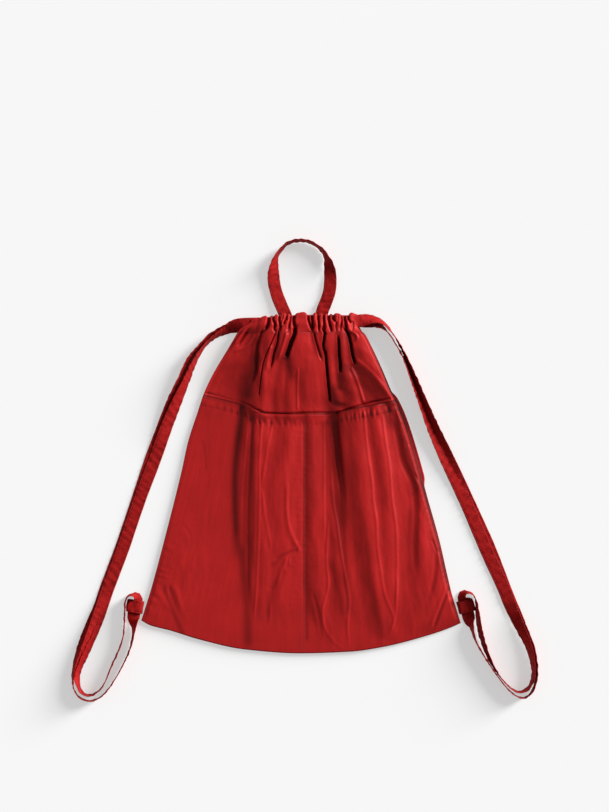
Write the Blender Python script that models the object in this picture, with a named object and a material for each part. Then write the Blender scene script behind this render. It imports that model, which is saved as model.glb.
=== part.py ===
"""Drawstring pouch worn as a backpack, lying flat on its back with its front up.

Metres, +Z up. The mouth points to +Y and the origin is on the floor, under the middle of the pouch.
Every panel is one folded sheet: a grid of columns, which fan out from the gathered mouth to the
bottom seam, where each column holds the sheet's profile in height.
"""

import math

import bmesh
import bpy
import numpy as np

MM = 0.001

CLOTH = 0.8 * MM
TAPE_WIDTH = 15 * MM
TAPE = 0.8 * MM
GAP = 0.3 * MM

# The pouch seen from above, in millimetres: (y, x) down each side, and (x, y) along the bottom seam.
LEFT_SIDE = [(-203, -189), (-170, -179), (-110, -163), (-27, -142), (5, -135), (43, -123), (63, -116),
             (84, -106), (114, -88), (125, -81), (137, -73), (146, -60), (156, -58)]
RIGHT_SIDE = [(-206, 185), (-168, 172.5), (-110, 159), (-50, 142), (-27, 136), (20, 122), (43, 114),
              (67, 103), (88, 94), (120, 79), (131, 73), (139, 65), (156, 63)]
BOTTOM_SEAM = [(-189, -203), (-178, -209), (-155, -215), (-120, -226), (-67, -237.5), (-3, -242),
               (56, -240), (94, -234.5), (149, -220), (172, -212), (185, -206)]
CASING_TOP = [(0, 153.4), (0.1, 154), (0.3, 154.4), (0.5, 155.4), (0.8, 155), (1, 154.8)]
POCKET_TOP = [(-116, 61), (-85, 54), (-66, 49), (-54, 41), (-5, 39.5), (32, 39.5), (45, 43), (79, 49),
              (110, 55)]
BOTTOM_GUESS = -220 * MM
MOUTH_GUESS = 40 * MM

# The casing, a channel for the tape between the stitch line and the folded top edge.
STITCH_LINE = 133 * MM
HEM_END = 134.2 * MM
TAPE_LINE = 144 * MM
GATHERS = 12
FRONT_GATHER_HEIGHT = 4.5 * MM
INNER_GATHER_HEIGHT = 1.2 * MM
STITCH_GATHER = 0.25
FOLD_GATHER = 0.35
FLAT_MIDDLE = (0.42, 0.58)
GATHER_FADE = 0.03
GATHER_END = 0.04
CREST_START = 3 * MM
CREST_END = 4 * MM
TOP_ROUND = 2.4 * MM

# The rear casing, which lies flat and a little lower than the front one.
REAR_DROP = 1 * MM
REAR_ROUND = 1.8 * MM
REAR_EDGE = 0.5 * MM
REAR_EDGE_SHARE = 0.2
HANDLE_CLEAR = 12 * MM
HANDLE_FADE = 6 * MM

# Heights of the middle of each layer above the floor.
BACK_FLOOR_Z = 0.4 * MM
BACK_INNER_Z = 4.0 * MM
FRONT_INNER_Z = 10.6 * MM
FRONT_STITCH_Z = 11.7 * MM
FRONT_OUTER_Z = 14.8 * MM
FRONT_BODY_Z = 11.0 * MM
SEAM_STEP = CLOTH + GAP
POCKET_ROOM = 4.7 * MM

# Where the side seams of the front rise to its casing, and the front settles on its stitch line.
SIDE_OPENS_Y = 88 * MM
SIDE_OPENS_WIDTH = 42 * MM
SETTLE_Y = 118 * MM
SETTLE_WIDTH = 15 * MM

# How far past the pocket's hem the folds of the front begin, and how they end above it.
FOLDS_BELOW_HEM = 4 * MM
FOLDS_WIDTH = 18 * MM
FOLDS_STITCHED = 7 * MM
FOLD_FADE = 16 * MM

# How far in from a seam a panel reaches its full height.
SIDE_RISE = 35 * MM
BOTTOM_RISE = 32 * MM
POCKET_SIDE_RISE = 30 * MM
POCKET_MIDDLE_RISE = 15 * MM
POCKET_SEAM_X = 1 * MM

# Folds, in millimetres: the crest as (y, x) from the top down, then its half width and height.
BODY_FOLDS = [
    ([(132, -69), (118, -78), (108, -83)], 6, 3.5),
    ([(132, -52), (108, -65), (81, -79), (61, -94)], 8, 5),
    ([(132, -31), (112, -36), (92, -40)], 6, 5),
    ([(132, -14), (124, -21), (102, -29), (61, -29)], 5, 4.5),
    ([(132, 8), (100, 7), (50, 5)], 11, 3.5),
    ([(132, 34), (95, 35), (52, 37)], 7, 6),
    ([(130, 50), (112, 52), (97, 53)], 4.5, 4),
    ([(97, 51), (75, 59), (49, 68)], 7, 5),
    ([(130, 58), (95, 64), (57, 76)], 5, 3.5),
    ([(128, 70), (103, 80), (78, 91)], 8, 5),
]
POCKET_FOLDS = [
    ([(43, -95), (8, -104), (-109, -107)], 15, 2.5),
    ([(34, -62), (-27, -68), (-74, -73), (-132, -76)], 6, 3.5),
    ([(34, -49), (-39, -50), (-85, -52), (-179, -55), (-235, -66)], 7, 4),
    ([(36, -31), (-4, -37), (-91, -39), (-150, -32), (-232, -36)], 7, 3.5),
    ([(34, -9), (-39, -20), (-118, -9), (-167, -20)], 6, 3),
    ([(37, 24), (-62, 25), (-167, 30), (-237, 46)], 6, 4),
    ([(-15, 40), (-97, 48), (-156, 56), (-237, 64)], 6, 3),
    ([(43, 68), (-27, 79), (-120, 88), (-197, 103)], 7, 4),
    ([(32, 92), (-9, 97), (-97, 110), (-179, 114)], 7, 4),
    ([(-4, 120), (-62, 129), (-120, 145)], 9, 3),
]

# Rows of each grid, as shares: from the bottom seam to the pocket's mouth, from there to the stitch
# line, and on the back panel from the bottom seam to the stitch line.
POCKET_ROWS = [0, 0.025, 0.06, 0.11, 0.19, 0.3, 0.42, 0.54, 0.66, 0.78, 0.9, 1]
BACKING_ROWS = [0, 0.025, 0.06, 0.11, 0.19, 0.3, 0.42, 0.54, 0.66, 0.78, 0.88, 0.94]
UPPER_ROWS = [0.09, 0.2, 0.32, 0.44, 0.57, 0.7, 0.82, 0.92]
BACK_ROWS = [0, 0.1, 0.25, 0.4, 0.55, 0.7, 0.82, 0.9, 0.96]
FRONT_COLUMNS = 48
SEAM_COLUMN = 0.506
BACK_COLUMNS = 24

# The handle's middle line, in millimetres: (x, y, height, tilt in degrees). A tilt of 0 lies flat.
HANDLE_ROUTE = [
    (-17.5, 136, 5.1, 0), (-19, 151, 5.1, 0), (-24.5, 164.5, 4.6, 5), (-30, 178.5, 3.9, 15),
    (-33.5, 194, 4.6, 28), (-33.5, 209, 6.6, 52), (-31, 221, 7.7, 70), (-25, 230.5, 7.9, 78),
    (-17.5, 237.5, 7.9, 80), (-10, 240.3, 7.9, 80), (-2.5, 241, 7.9, 80), (5.5, 240.2, 7.9, 80),
    (14, 236.5, 7.9, 80), (22.5, 230, 7.8, 76), (28.5, 220.5, 7.3, 64), (31.5, 209, 5.9, 44),
    (32.5, 196.5, 4.4, 25), (31.5, 182.5, 4.1, 16), (28, 171, 4.4, 8), (23.5, 159.5, 5.0, 0),
    (21.5, 151, 5.1, 0), (20.5, 136, 5.1, 0),
]
HANDLE_STATIONS = 44

# Each drawstring's middle line, from its sewn end in the front casing to that in the rear casing.
LEFT_ROUTE = [
    (-7, 144, 13.5, 0), (-69, 143.8, 13.3, 0), (-81, 142.5, 11, 42), (-92, 139, 9, 72),
    (-106, 130, 8.1, 80), (-119, 115, 8.1, 72), (-130.5, 97, 5.4, 34), (-141.5, 72.5, 2.2, 8),
    (-186, -38.5, 0.8, 0), (-239.5, -195.5, 0.8, 0), (-257, -236.5, 1.8, 8), (-265, -261, 5.2, 34),
    (-266, -278.5, 7.6, 68), (-259.5, -291.5, 8, 85), (-248, -296, 8, 88), (-232.5, -289, 8, 87),
    (-203.5, -236.5, 8, 82), (-198.8, -213, 6.9, 56), (-197.2, -196, 2.7, 2),
    (-194, -175.8, 2.7, 0), (-193.8, -170.3, 5.6, 46), (-197, -167.2, 8, 82), (-203, -168.5, 8, 86),
    (-207.3, -175.5, 8, 76), (-208.5, -195.5, 7.8, 70), (-210.5, -223.5, 8, 76),
    (-223, -256, 8, 84), (-235, -281.5, 8, 88), (-247.5, -289.5, 8, 88), (-258, -284.5, 7.8, 80),
    (-261.5, -268, 6, 42), (-254.5, -243.5, 3.6, 8), (-232, -190.5, 1.9, 0), (-179.5, -38.5, 1.9, 0),
    (-135, 71.5, 3.2, 10), (-110.5, 122.5, 8.2, 76), (-97, 134, 7.8, 66), (-84, 140.5, 4.8, 28),
    (-71, 143.5, 2.3, 0), (-7, 144, 2.3, 0),
]
RIGHT_ROUTE = [
    (6, 144, 13.5, 0), (67, 143.8, 13.4, 0), (80, 144.5, 11, -42), (91, 141.5, 9, -70),
    (104.5, 131.5, 8.1, -80), (116.5, 116.5, 8.1, -74), (125, 99.5, 5.8, -38), (139, 68.5, 2, -8),
    (185, -32, 0.8, 0), (246.5, -176.5, 0.8, 0), (264, -221, 1.8, -8), (272, -245.5, 5.2, -34),
    (274, -269, 7.6, -68), (268.5, -286.5, 8, -85), (258, -292.5, 8, -88), (244, -286.5, 8, -88),
    (203, -228, 8, -82), (197.3, -211, 6.9, -56), (193.6, -196, 2.7, -2),
    (188.8, -175.2, 2.7, 0), (188.2, -169.8, 5.6, -46), (191, -166.6, 8, -82), (197, -167.2, 8, -86),
    (202.2, -174, 8, -76), (207.5, -195.5, 7.8, -70), (212.5, -219, 8, -76),
    (223, -249, 8, -84), (237.5, -273, 8, -88), (251.5, -285.5, 8, -88), (264.5, -282.5, 7.8, -80),
    (269.5, -263, 6, -42), (267.5, -241, 3.6, -8), (240, -180, 1.9, 0), (178.5, -34, 1.9, 0),
    (135.5, 62, 3.2, -10), (109.5, 120, 8.2, -76), (96.5, 132.5, 7.6, -64), (84, 139.5, 4.8, -28),
    (71, 143, 2.3, 0), (6, 144, 2.3, 0),
]
TAPE_STATIONS = 84
STEPS_PER_KNOT = 24
TILT_CROWDING = 0.45 * MM
BEND_CROWDING = 10 * MM

# The corner tabs: the middle of each on the side seam, and the way out of the pouch.
TAB_LENGTH = 19.5 * MM
TAB_TOP_Z = 5.8 * MM
TAB_START = 0.5 * MM
TAB_STITCHED = 3 * MM
TAB_SWELL = (8 * MM, 0.4 * MM)
TAB_TURN = (-60, -30, 0, 30, 60)
TAB_LEFT = ((-185.8, -188.0), (-0.984, 0.176))
TAB_RIGHT = ((181.2, -188.5), (0.968, 0.252))

RED_NYLON = (0.42, 0.018, 0.02, 1)
RED_TAPE = (0.36, 0.015, 0.018, 1)
CLOTH_ROUGHNESS = 0.42
TAPE_ROUGHNESS = 0.5
SHARP_ANGLE = math.radians(50)


def smooth_curve(knots, scale=1.0):
    """A function through (t, value) knots, rising and falling no further than they do."""
    t = np.array([k[0] for k in knots], float) * scale
    v = np.array([k[1] for k in knots], float) * MM
    slopes = np.diff(v) / np.diff(t)
    tangents = np.zeros(len(t))
    tangents[0] = slopes[0]
    tangents[-1] = slopes[-1]
    for i in range(1, len(t) - 1):
        if slopes[i - 1] * slopes[i] > 0:
            tangents[i] = 2 * slopes[i - 1] * slopes[i] / (slopes[i - 1] + slopes[i])

    def value(at):
        at = min(max(at, t[0]), t[-1])
        i = min(int(np.searchsorted(t, at, side="right")) - 1, len(t) - 2)
        width = t[i + 1] - t[i]
        s = (at - t[i]) / width
        start = (1 + 2 * s) * (1 - s) ** 2 * v[i] + s * (1 - s) ** 2 * width * tangents[i]
        end = s * s * (3 - 2 * s) * v[i + 1] + s * s * (s - 1) * width * tangents[i + 1]
        return start + end

    return value


left_x = smooth_curve(LEFT_SIDE, MM)
right_x = smooth_curve(RIGHT_SIDE, MM)
bottom_y = smooth_curve(BOTTOM_SEAM, MM)
casing_top_y = smooth_curve(CASING_TOP)
pocket_top_y = smooth_curve(POCKET_TOP, MM)


def across(u, y):
    """The x of column u, from 0 at the left side to 1 at the right, at the height y of the pouch."""
    return left_x(y) + u * (right_x(y) - left_x(y))


def crossing(edge, u, start):
    """The y where column u meets an edge given as y over x."""
    y = start
    for _ in range(12):
        y = edge(across(u, y))
    return y


def ease(value):
    """0 to 1 with level ends."""
    value = min(max(value, 0.0), 1.0)
    return value * value * (3 - 2 * value)


def rise(distance, width):
    """0 at a seam, rounding up to 1 at the given distance from it."""
    return math.sin(math.pi / 2 * min(max(distance / width, 0.0), 1.0))


def gather(u):
    """0 to 1 across the gathers of the casing, and 0 on its flat middle."""
    from_middle = abs(u - sum(FLAT_MIDDLE) / 2) - (FLAT_MIDDLE[1] - FLAT_MIDDLE[0]) / 2
    middle = ease(from_middle / GATHER_FADE)
    ends = ease(u / GATHER_END) * ease((1 - u) / GATHER_END)
    return middle * ends * (0.5 - 0.5 * math.cos(2 * math.pi * GATHERS * u))


def fold_height(folds, x, y):
    """The height that the folds add at a point, the highest of them counting."""
    highest = 0.0
    for crest, half_width, height in folds:
        ys = [p[0] * MM for p in reversed(crest)]
        xs = [p[1] * MM for p in reversed(crest)]
        off = (x - np.interp(y, ys, xs)) / (half_width * MM)
        beyond = max(ys[0] - y, y - ys[-1], 0.0) / FOLD_FADE
        highest = max(highest, height * MM * math.exp(-off * off) * (1 - ease(beyond)))
    return highest


def edge_height(y):
    """The front panel's height at its side seams, which stop where the mouth opens."""
    seam = BACK_FLOOR_Z + SEAM_STEP
    return seam + (FRONT_STITCH_Z - seam) * ease((y - SIDE_OPENS_Y) / SIDE_OPENS_WIDTH)


def front_height(u, y, bottom):
    """The middle of the front panel between the bottom seam and the stitch line."""
    x = across(u, y)
    width = right_x(y) - left_x(y)
    side = rise(u * width, SIDE_RISE) * rise((1 - u) * width, SIDE_RISE)
    seam = BACK_FLOOR_Z + SEAM_STEP
    low = seam + (edge_height(y) - seam) * rise(y - bottom, BOTTOM_RISE)
    height = low + (FRONT_BODY_Z - low) * side * rise(y - bottom, BOTTOM_RISE)
    above_pocket = ease((y - pocket_top_y(x) + FOLDS_BELOW_HEM) / FOLDS_WIDTH)
    stitched = rise(STITCH_LINE - y, FOLDS_STITCHED)
    settle = (FRONT_STITCH_Z - FRONT_BODY_Z) * ease((y - SETTLE_Y) / SETTLE_WIDTH)
    return height + settle + fold_height(BODY_FOLDS, x, y) * above_pocket * stitched * side


def backing_profile(u):
    """(y, z) along column u of the cloth behind the pocket, from the bottom seam to its top edge."""
    bottom = crossing(bottom_y, u, BOTTOM_GUESS)
    mouth = crossing(pocket_top_y, u, MOUTH_GUESS)
    rows = [bottom + (mouth - bottom) * share for share in BACKING_ROWS]
    return [(y, front_height(u, y, bottom)) for y in rows]


def front_profile(u):
    """(y, z) along column u, up the outside, over the top edge and down the inside of the casing."""
    bottom = crossing(bottom_y, u, BOTTOM_GUESS)
    top = casing_top_y(u)
    wave = gather(u)
    high = FRONT_OUTER_Z + FRONT_GATHER_HEIGHT * wave
    fold = FRONT_OUTER_Z + FOLD_GATHER * (high - FRONT_OUTER_Z)
    inner = FRONT_INNER_Z + INNER_GATHER_HEIGHT * wave
    mouth = crossing(pocket_top_y, u, MOUTH_GUESS)
    rows = [bottom + (mouth - bottom) * BACKING_ROWS[-1] + GAP, mouth]
    rows += [mouth + (STITCH_LINE - mouth) * share for share in UPPER_ROWS]
    points = [(y, front_height(u, y, bottom)) for y in rows]
    points += [
        (STITCH_LINE, FRONT_STITCH_Z),
        (STITCH_LINE + CREST_START, FRONT_OUTER_Z + STITCH_GATHER * (high - FRONT_OUTER_Z)),
        (TAPE_LINE - CREST_START, high),
        (TAPE_LINE + CREST_END, high),
        (top - TOP_ROUND, fold),
        (top, (fold + FRONT_INNER_Z) / 2),
        (top - TOP_ROUND, FRONT_INNER_Z),
        (TAPE_LINE, inner),
        (HEM_END, FRONT_INNER_Z),
    ]
    return points


def back_profile(u):
    """(y, z) along column u, up the floor side, over the top edge and down the mouth side."""
    bottom = crossing(bottom_y, u, BOTTOM_GUESS)
    top = casing_top_y(u) - REAR_DROP
    x = across(u, TAPE_LINE)
    handle_ends = min(abs(x - HANDLE_ROUTE[0][0] * MM), abs(x - HANDLE_ROUTE[-1][0] * MM))
    clear = ease((handle_ends - HANDLE_CLEAR) / HANDLE_FADE)
    inner = BACK_INNER_Z + INNER_GATHER_HEIGHT * gather(u) * clear
    hem = BACK_FLOOR_Z + SEAM_STEP
    edge = (BACK_INNER_Z - BACK_FLOOR_Z) * REAR_EDGE_SHARE
    points = [(bottom + (STITCH_LINE - bottom) * share, BACK_FLOOR_Z) for share in BACK_ROWS]
    points += [
        (STITCH_LINE, BACK_FLOOR_Z),
        (TAPE_LINE, BACK_FLOOR_Z),
        (top - REAR_ROUND, BACK_FLOOR_Z),
        (top - REAR_EDGE, BACK_FLOOR_Z + edge),
        (top, (BACK_FLOOR_Z + BACK_INNER_Z) / 2),
        (top - REAR_EDGE, BACK_INNER_Z - edge),
        (top - REAR_ROUND, BACK_INNER_Z),
        (TAPE_LINE, inner),
        (TAPE_LINE - TAPE_WIDTH / 2 - CLOTH, BACK_INNER_Z),
        (HEM_END, hem),
        (STITCH_LINE, hem),
    ]
    return points


def pocket_profile(u):
    """(y, z) up column u of the pocket, from the bottom seam to the hem at its mouth."""
    bottom = crossing(bottom_y, u, BOTTOM_GUESS)
    top = crossing(pocket_top_y, u, MOUTH_GUESS)
    points = []
    for share in POCKET_ROWS:
        y = bottom + (top - bottom) * share
        x = across(u, y)
        width = right_x(y) - left_x(y)
        room = rise(u * width, POCKET_SIDE_RISE) * rise((1 - u) * width, POCKET_SIDE_RISE)
        room *= rise(y - bottom, BOTTOM_RISE) * rise(abs(x - POCKET_SEAM_X), POCKET_MIDDLE_RISE)
        folds = fold_height(POCKET_FOLDS, x, y) * room
        points.append((y, front_height(u, y, bottom) + SEAM_STEP + POCKET_ROOM * room + folds))
    return points


def seam_columns(count):
    """Even columns, except that the pocket's has one on the middle seam."""
    columns = [i / count for i in range(count + 1)]
    nearest = min(range(count + 1), key=lambda i: abs(columns[i] - SEAM_COLUMN))
    columns[nearest] = SEAM_COLUMN
    return columns


def nylon(name, colour, roughness):
    """A woven, slightly glossy finish."""
    material = bpy.data.materials.new(name)
    material.use_nodes = True
    shader = material.node_tree.nodes["Principled BSDF"]
    shader.inputs["Base Color"].default_value = colour
    shader.inputs["Roughness"].default_value = roughness
    shader.inputs["Metallic"].default_value = 0.0
    material.diffuse_color = colour
    return material


def add_node(name, rows, material, parent):
    """A named closed solid from rings of points, with end caps.

    Both faces of a sheet are split along the same diagonals, so that sheets that lie on each other
    keep their gap between the grid's points too.
    """
    mesh = bmesh.new()
    grid = [[mesh.verts.new(point) for point in row] for row in rows]
    around = len(grid[0])
    for first, second in zip(grid, grid[1:]):
        for i in range(around):
            j = (i + 1) % around
            corners = (first[i], first[j], second[j], second[i])
            if i >= around // 2:
                corners = corners[1:] + corners[:1]
            mesh.faces.new(corners[:3])
            mesh.faces.new((corners[0], corners[2], corners[3]))
    add_caps(mesh, grid[0])
    add_caps(mesh, grid[-1])
    bmesh.ops.recalc_face_normals(mesh, faces=mesh.faces)
    data = bpy.data.meshes.new(name)
    mesh.to_mesh(data)
    mesh.free()
    data.shade_smooth()
    data.set_sharp_from_angle(angle=SHARP_ANGLE)
    data.materials.append(material)
    node = bpy.data.objects.new(name, data)
    bpy.context.scene.collection.objects.link(node)
    node.parent = parent
    return node


def add_caps(mesh, ring):
    """Closes an end whose ring runs along one face of a sheet and back along the other."""
    half = len(ring) // 2
    for i in range(half - 1):
        mesh.faces.new((ring[i], ring[i + 1], ring[-2 - i], ring[-1 - i]))


def sheet_rows(profile, columns):
    """Rings around the sheet's thickness, one for each column."""
    rings = []
    for u in columns:
        points = profile(u)
        upper = []
        lower = []
        for i, (y, z) in enumerate(points):
            before = points[max(i - 1, 0)]
            after = points[min(i + 1, len(points) - 1)]
            along = (after[0] - before[0], after[1] - before[1])
            length = math.hypot(*along)
            offset = (-along[1] / length * CLOTH / 2, along[0] / length * CLOTH / 2)
            upper.append((across(u, y + offset[0]), y + offset[0], z + offset[1]))
            lower.append((across(u, y - offset[0]), y - offset[0], z - offset[1]))
        rings.append(upper + lower[::-1])
    return rings


def route_points(route, stations):
    """Positions and tilts along the smooth curve through a route's points, closer at its bends."""
    knots = np.array(route, float)
    plan = np.vstack([2 * knots[0] - knots[1], knots, 2 * knots[-1] - knots[-2]])[:, :2] * MM
    fine = []
    for i in range(1, len(plan) - 2):
        a, b, c, d = plan[i - 1:i + 3]
        span = [np.linalg.norm(q - p) ** 0.5 for p, q in ((a, b), (b, c), (c, d))]
        start = ((b - a) / span[0] - (c - a) / (span[0] + span[1]) + (c - b) / span[1]) * span[1]
        end = ((c - b) / span[1] - (d - b) / (span[1] + span[2]) + (d - c) / span[2]) * span[1]
        for s in np.linspace(0, 1, STEPS_PER_KNOT, endpoint=False):
            fine.append((1 + 2 * s) * (1 - s) ** 2 * b + s * (1 - s) ** 2 * start
                        + s * s * (3 - 2 * s) * c + s * s * (s - 1) * end)
    fine.append(plan[-2])
    fine = np.array(fine)
    steps = np.linalg.norm(np.diff(fine, axis=0), axis=1)
    distance = np.concatenate([[0], np.cumsum(steps)])
    reached = distance[::STEPS_PER_KNOT]
    height = smooth_curve(list(zip(reached, knots[:, 2])))
    tilt = smooth_curve(list(zip(reached, knots[:, 3])))
    tilts = np.array([tilt(at) / MM for at in distance])
    crowding = np.abs(np.diff(tilts)) * TILT_CROWDING + bend(fine) * BEND_CROWDING
    spread = np.concatenate([[0], np.cumsum(steps + crowding)])
    at = np.interp(np.linspace(0, spread[-1], stations), spread, distance)
    return [(np.interp(d, distance, fine[:, 0]), np.interp(d, distance, fine[:, 1]), height(d), tilt(d) / MM)
            for d in at]


def bend(points):
    """How far the path turns at each step, in radians."""
    along = np.diff(points, axis=0)
    along /= np.linalg.norm(along, axis=1)[:, None]
    turn = np.arccos(np.clip((along[1:] * along[:-1]).sum(axis=1), -1, 1))
    return np.concatenate([turn[:1], turn])


def tape_rows(route, stations):
    """Rings around a flat tape that follows a route and tilts about it."""
    points = np.array(route_points(route, stations))
    rings = []
    for i, (x, y, z, tilt) in enumerate(points):
        along = points[min(i + 1, stations - 1), :3] - points[max(i - 1, 0), :3]
        along /= np.linalg.norm(along)
        level = np.cross((0, 0, 1), along)
        level /= np.linalg.norm(level)
        upright = np.cross(along, level)
        angle = math.radians(tilt)
        wide = math.cos(angle) * level + math.sin(angle) * upright
        thick = np.cross(along, wide)
        centre = np.array((x, y, z))
        half_width = wide * TAPE_WIDTH / 2
        half_thick = thick * TAPE / 2
        rings.append([centre - half_width + half_thick, centre + half_width + half_thick,
                      centre + half_width - half_thick, centre - half_width - half_thick])
    return rings


def tab_rows(place, outward):
    """Rings around a tape folded into a loop, from the seam outwards, over the end and back."""
    centre = np.array(place) * MM
    out = np.array(outward)
    out /= np.linalg.norm(out)
    side = np.array((-out[1], out[0]))
    radius = (TAB_TOP_Z - BACK_FLOOR_Z) / 2
    middle_z = (TAB_TOP_Z + BACK_FLOOR_Z) / 2
    end = TAB_LENGTH - radius
    profile = [(TAB_START, BACK_FLOOR_Z), (end / 2, BACK_FLOOR_Z), (end, BACK_FLOOR_Z)]
    for degrees in TAB_TURN:
        turn = math.radians(degrees)
        profile.append((end + radius * math.cos(turn), middle_z + radius * math.sin(turn)))
    profile += [(end, TAB_TOP_Z), (TAB_SWELL[0], TAB_TOP_Z + TAB_SWELL[1]), (TAB_STITCHED, TAB_TOP_Z),
                (TAB_START, BACK_FLOOR_Z + 2 * SEAM_STEP)]
    rings = []
    for i, (reach, z) in enumerate(profile):
        before = profile[max(i - 1, 0)]
        after = profile[min(i + 1, len(profile) - 1)]
        along = (after[0] - before[0], after[1] - before[1])
        length = math.hypot(*along)
        offset = (-along[1] / length * TAPE / 2, along[0] / length * TAPE / 2)
        ring = []
        for sign, width in ((1, -1), (1, 1), (-1, 1), (-1, -1)):
            flat = centre + out * (reach + sign * offset[0]) + side * width * TAPE_WIDTH / 2
            ring.append((flat[0], flat[1], z + sign * offset[1]))
        rings.append(ring)
    return rings


def clear_scene():
    """Removes whatever the file opened with."""
    for old in list(bpy.data.objects):
        bpy.data.objects.remove(old)


def build_pouch():
    """Makes every piece under one empty."""
    pouch = bpy.data.objects.new("pouch", None)
    bpy.context.scene.collection.objects.link(pouch)
    front_columns = seam_columns(FRONT_COLUMNS)
    back_columns = [i / BACK_COLUMNS for i in range(BACK_COLUMNS + 1)]
    cloth = nylon("nylon_cloth", RED_NYLON, CLOTH_ROUGHNESS)
    tape = nylon("nylon_tape", RED_TAPE, TAPE_ROUGHNESS)
    add_node("back_panel", sheet_rows(back_profile, back_columns), cloth, pouch)
    add_node("front_panel", sheet_rows(front_profile, front_columns), cloth, pouch)
    add_node("pocket_backing", sheet_rows(backing_profile, front_columns), cloth, pouch)
    add_node("front_pocket", sheet_rows(pocket_profile, front_columns), cloth, pouch)
    add_node("handle_loop", tape_rows(HANDLE_ROUTE, HANDLE_STATIONS), tape, pouch)
    add_node("corner_tab_left", tab_rows(*TAB_LEFT), tape, pouch)
    add_node("corner_tab_right", tab_rows(*TAB_RIGHT), tape, pouch)
    add_node("drawstring_left", tape_rows(LEFT_ROUTE, TAPE_STATIONS), tape, pouch)
    add_node("drawstring_right", tape_rows(RIGHT_ROUTE, TAPE_STATIONS), tape, pouch)


clear_scene()
build_pouch()
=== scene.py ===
"""The looks of a red nylon drawstring pouch that lies on its back, seen from straight above.

The cloth panels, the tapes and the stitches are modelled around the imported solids, in metres.
Folds and creases are placed in the photograph's pixels, which PhotoScale turns into metres.
"""

import logging
import math
from dataclasses import dataclass, field
from enum import Enum
from functools import partial
from typing import Callable, Sequence, Union

import bpy
import numpy as np
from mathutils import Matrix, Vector


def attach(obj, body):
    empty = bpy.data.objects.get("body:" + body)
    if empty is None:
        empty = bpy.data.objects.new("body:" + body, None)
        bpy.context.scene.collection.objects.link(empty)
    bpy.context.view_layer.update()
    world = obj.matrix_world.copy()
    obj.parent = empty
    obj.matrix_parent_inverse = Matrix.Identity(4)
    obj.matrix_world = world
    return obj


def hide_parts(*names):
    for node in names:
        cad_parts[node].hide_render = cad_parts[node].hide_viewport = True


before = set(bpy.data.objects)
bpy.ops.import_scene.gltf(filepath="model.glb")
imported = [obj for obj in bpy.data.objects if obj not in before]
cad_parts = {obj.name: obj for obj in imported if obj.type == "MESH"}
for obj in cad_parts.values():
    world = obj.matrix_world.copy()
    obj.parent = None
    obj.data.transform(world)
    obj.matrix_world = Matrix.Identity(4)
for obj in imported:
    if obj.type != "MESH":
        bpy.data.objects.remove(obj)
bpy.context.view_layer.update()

MM = 0.001
BODY = "root"
LOG = logging.getLogger("pouch")

Points = Sequence[tuple[float, ...]]
Number = Union[float, np.ndarray]
Colour = tuple[float, float, float, float]


@dataclass(frozen=True)
class PhotoScale:
    """How the photograph lies over the object.

    The pixel (origin_x, origin_y) is the point above the frame's origin.
    """

    pixel: float = 1.17 * MM
    origin_x: float = 302.5
    origin_y: float = 447.0
    width: int = 609
    height: int = 812

    def plan(self, pixels: Points) -> np.ndarray:
        """Turns pixels into metres.

        Args:
            pixels: (x, y) pairs, with y downwards.

        Returns:
            The same places as rows of (x, y) in metres, with y upwards.
        """
        at = np.array([p[:2] for p in pixels], float)
        return np.stack([at[:, 0] - self.origin_x, self.origin_y - at[:, 1]], axis=1) * self.pixel

    def across(self, x: Number) -> Number:
        """The column of pixels at an x in metres."""
        return x / self.pixel + self.origin_x

    def down(self, y: Number) -> Number:
        """The row of pixels at a y in metres."""
        return self.origin_y - y / self.pixel


PHOTO = PhotoScale()


class SmoothCurve:
    """A curve through (t, value) knots that rises and falls no further than they do."""

    def __init__(self, knots: Points, scale: float = 1.0, unit: float = MM) -> None:
        """Fits the curve.

        Args:
            knots: (t, value) pairs, t rising.
            scale: what t is multiplied by.
            unit: what the value is multiplied by.
        """
        self.t = np.array([k[0] for k in knots], float) * scale
        self.v = np.array([k[1] for k in knots], float) * unit
        slopes = np.diff(self.v) / np.diff(self.t)
        before, after = slopes[:-1], slopes[1:]
        same_way = before * after > 0
        mean = 2 * before * after / np.where(same_way, before + after, 1)
        self.tangents = np.concatenate([slopes[:1], np.where(same_way, mean, 0), slopes[-1:]])

    def __call__(self, at: Number) -> Number:
        """The value at one t or at an array of them."""
        at = np.clip(at, self.t[0], self.t[-1])
        i = np.clip(np.searchsorted(self.t, at, side="right") - 1, 0, len(self.t) - 2)
        width = self.t[i + 1] - self.t[i]
        s = (at - self.t[i]) / width
        start = (1 + 2 * s) * (1 - s) ** 2 * self.v[i] + s * (1 - s) ** 2 * width * self.tangents[i]
        end = s * s * (3 - 2 * s) * self.v[i + 1] + s * s * (s - 1) * width * self.tangents[i + 1]
        return start + end


def ease(value: Number) -> Number:
    """0 to 1 with level ends."""
    value = np.clip(value, 0.0, 1.0)
    return value * value * (3 - 2 * value)


def rise(distance: Number, width: Number) -> Number:
    """0 at a seam, rounding up to 1 at the given distance from it."""
    return np.sin(math.pi / 2 * np.clip(distance / width, 0.0, 1.0))


def beside(off: Number, width: float) -> Number:
    """1 on a line, dying out to nearly nothing at twice the width to either side."""
    return np.exp(-(off / width) ** 2)


def between(value: Number, low: Number, high: Number, soft: float) -> Number:
    """1 between two places and 0 outside them, easing in over a soft distance inside each."""
    return ease((value - low) / soft) * ease((high - value) / soft)


def pulled(off: Number, width: float) -> Number:
    """0 on a seam, at its most a width away from it, and dying out further off."""
    return off / width * np.exp(-off / width)


def joined(first: np.ndarray, second: Number, blend: float) -> np.ndarray:
    """The higher of two heights, rounded where they meet.

    Args:
        first: one height.
        second: the other height.
        blend: how wide the rounding is, in the heights' own unit.

    Returns:
        The blended height, never below either.
    """
    return (first + second + np.sqrt((first - second) ** 2 + blend * blend)) / 2


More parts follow.
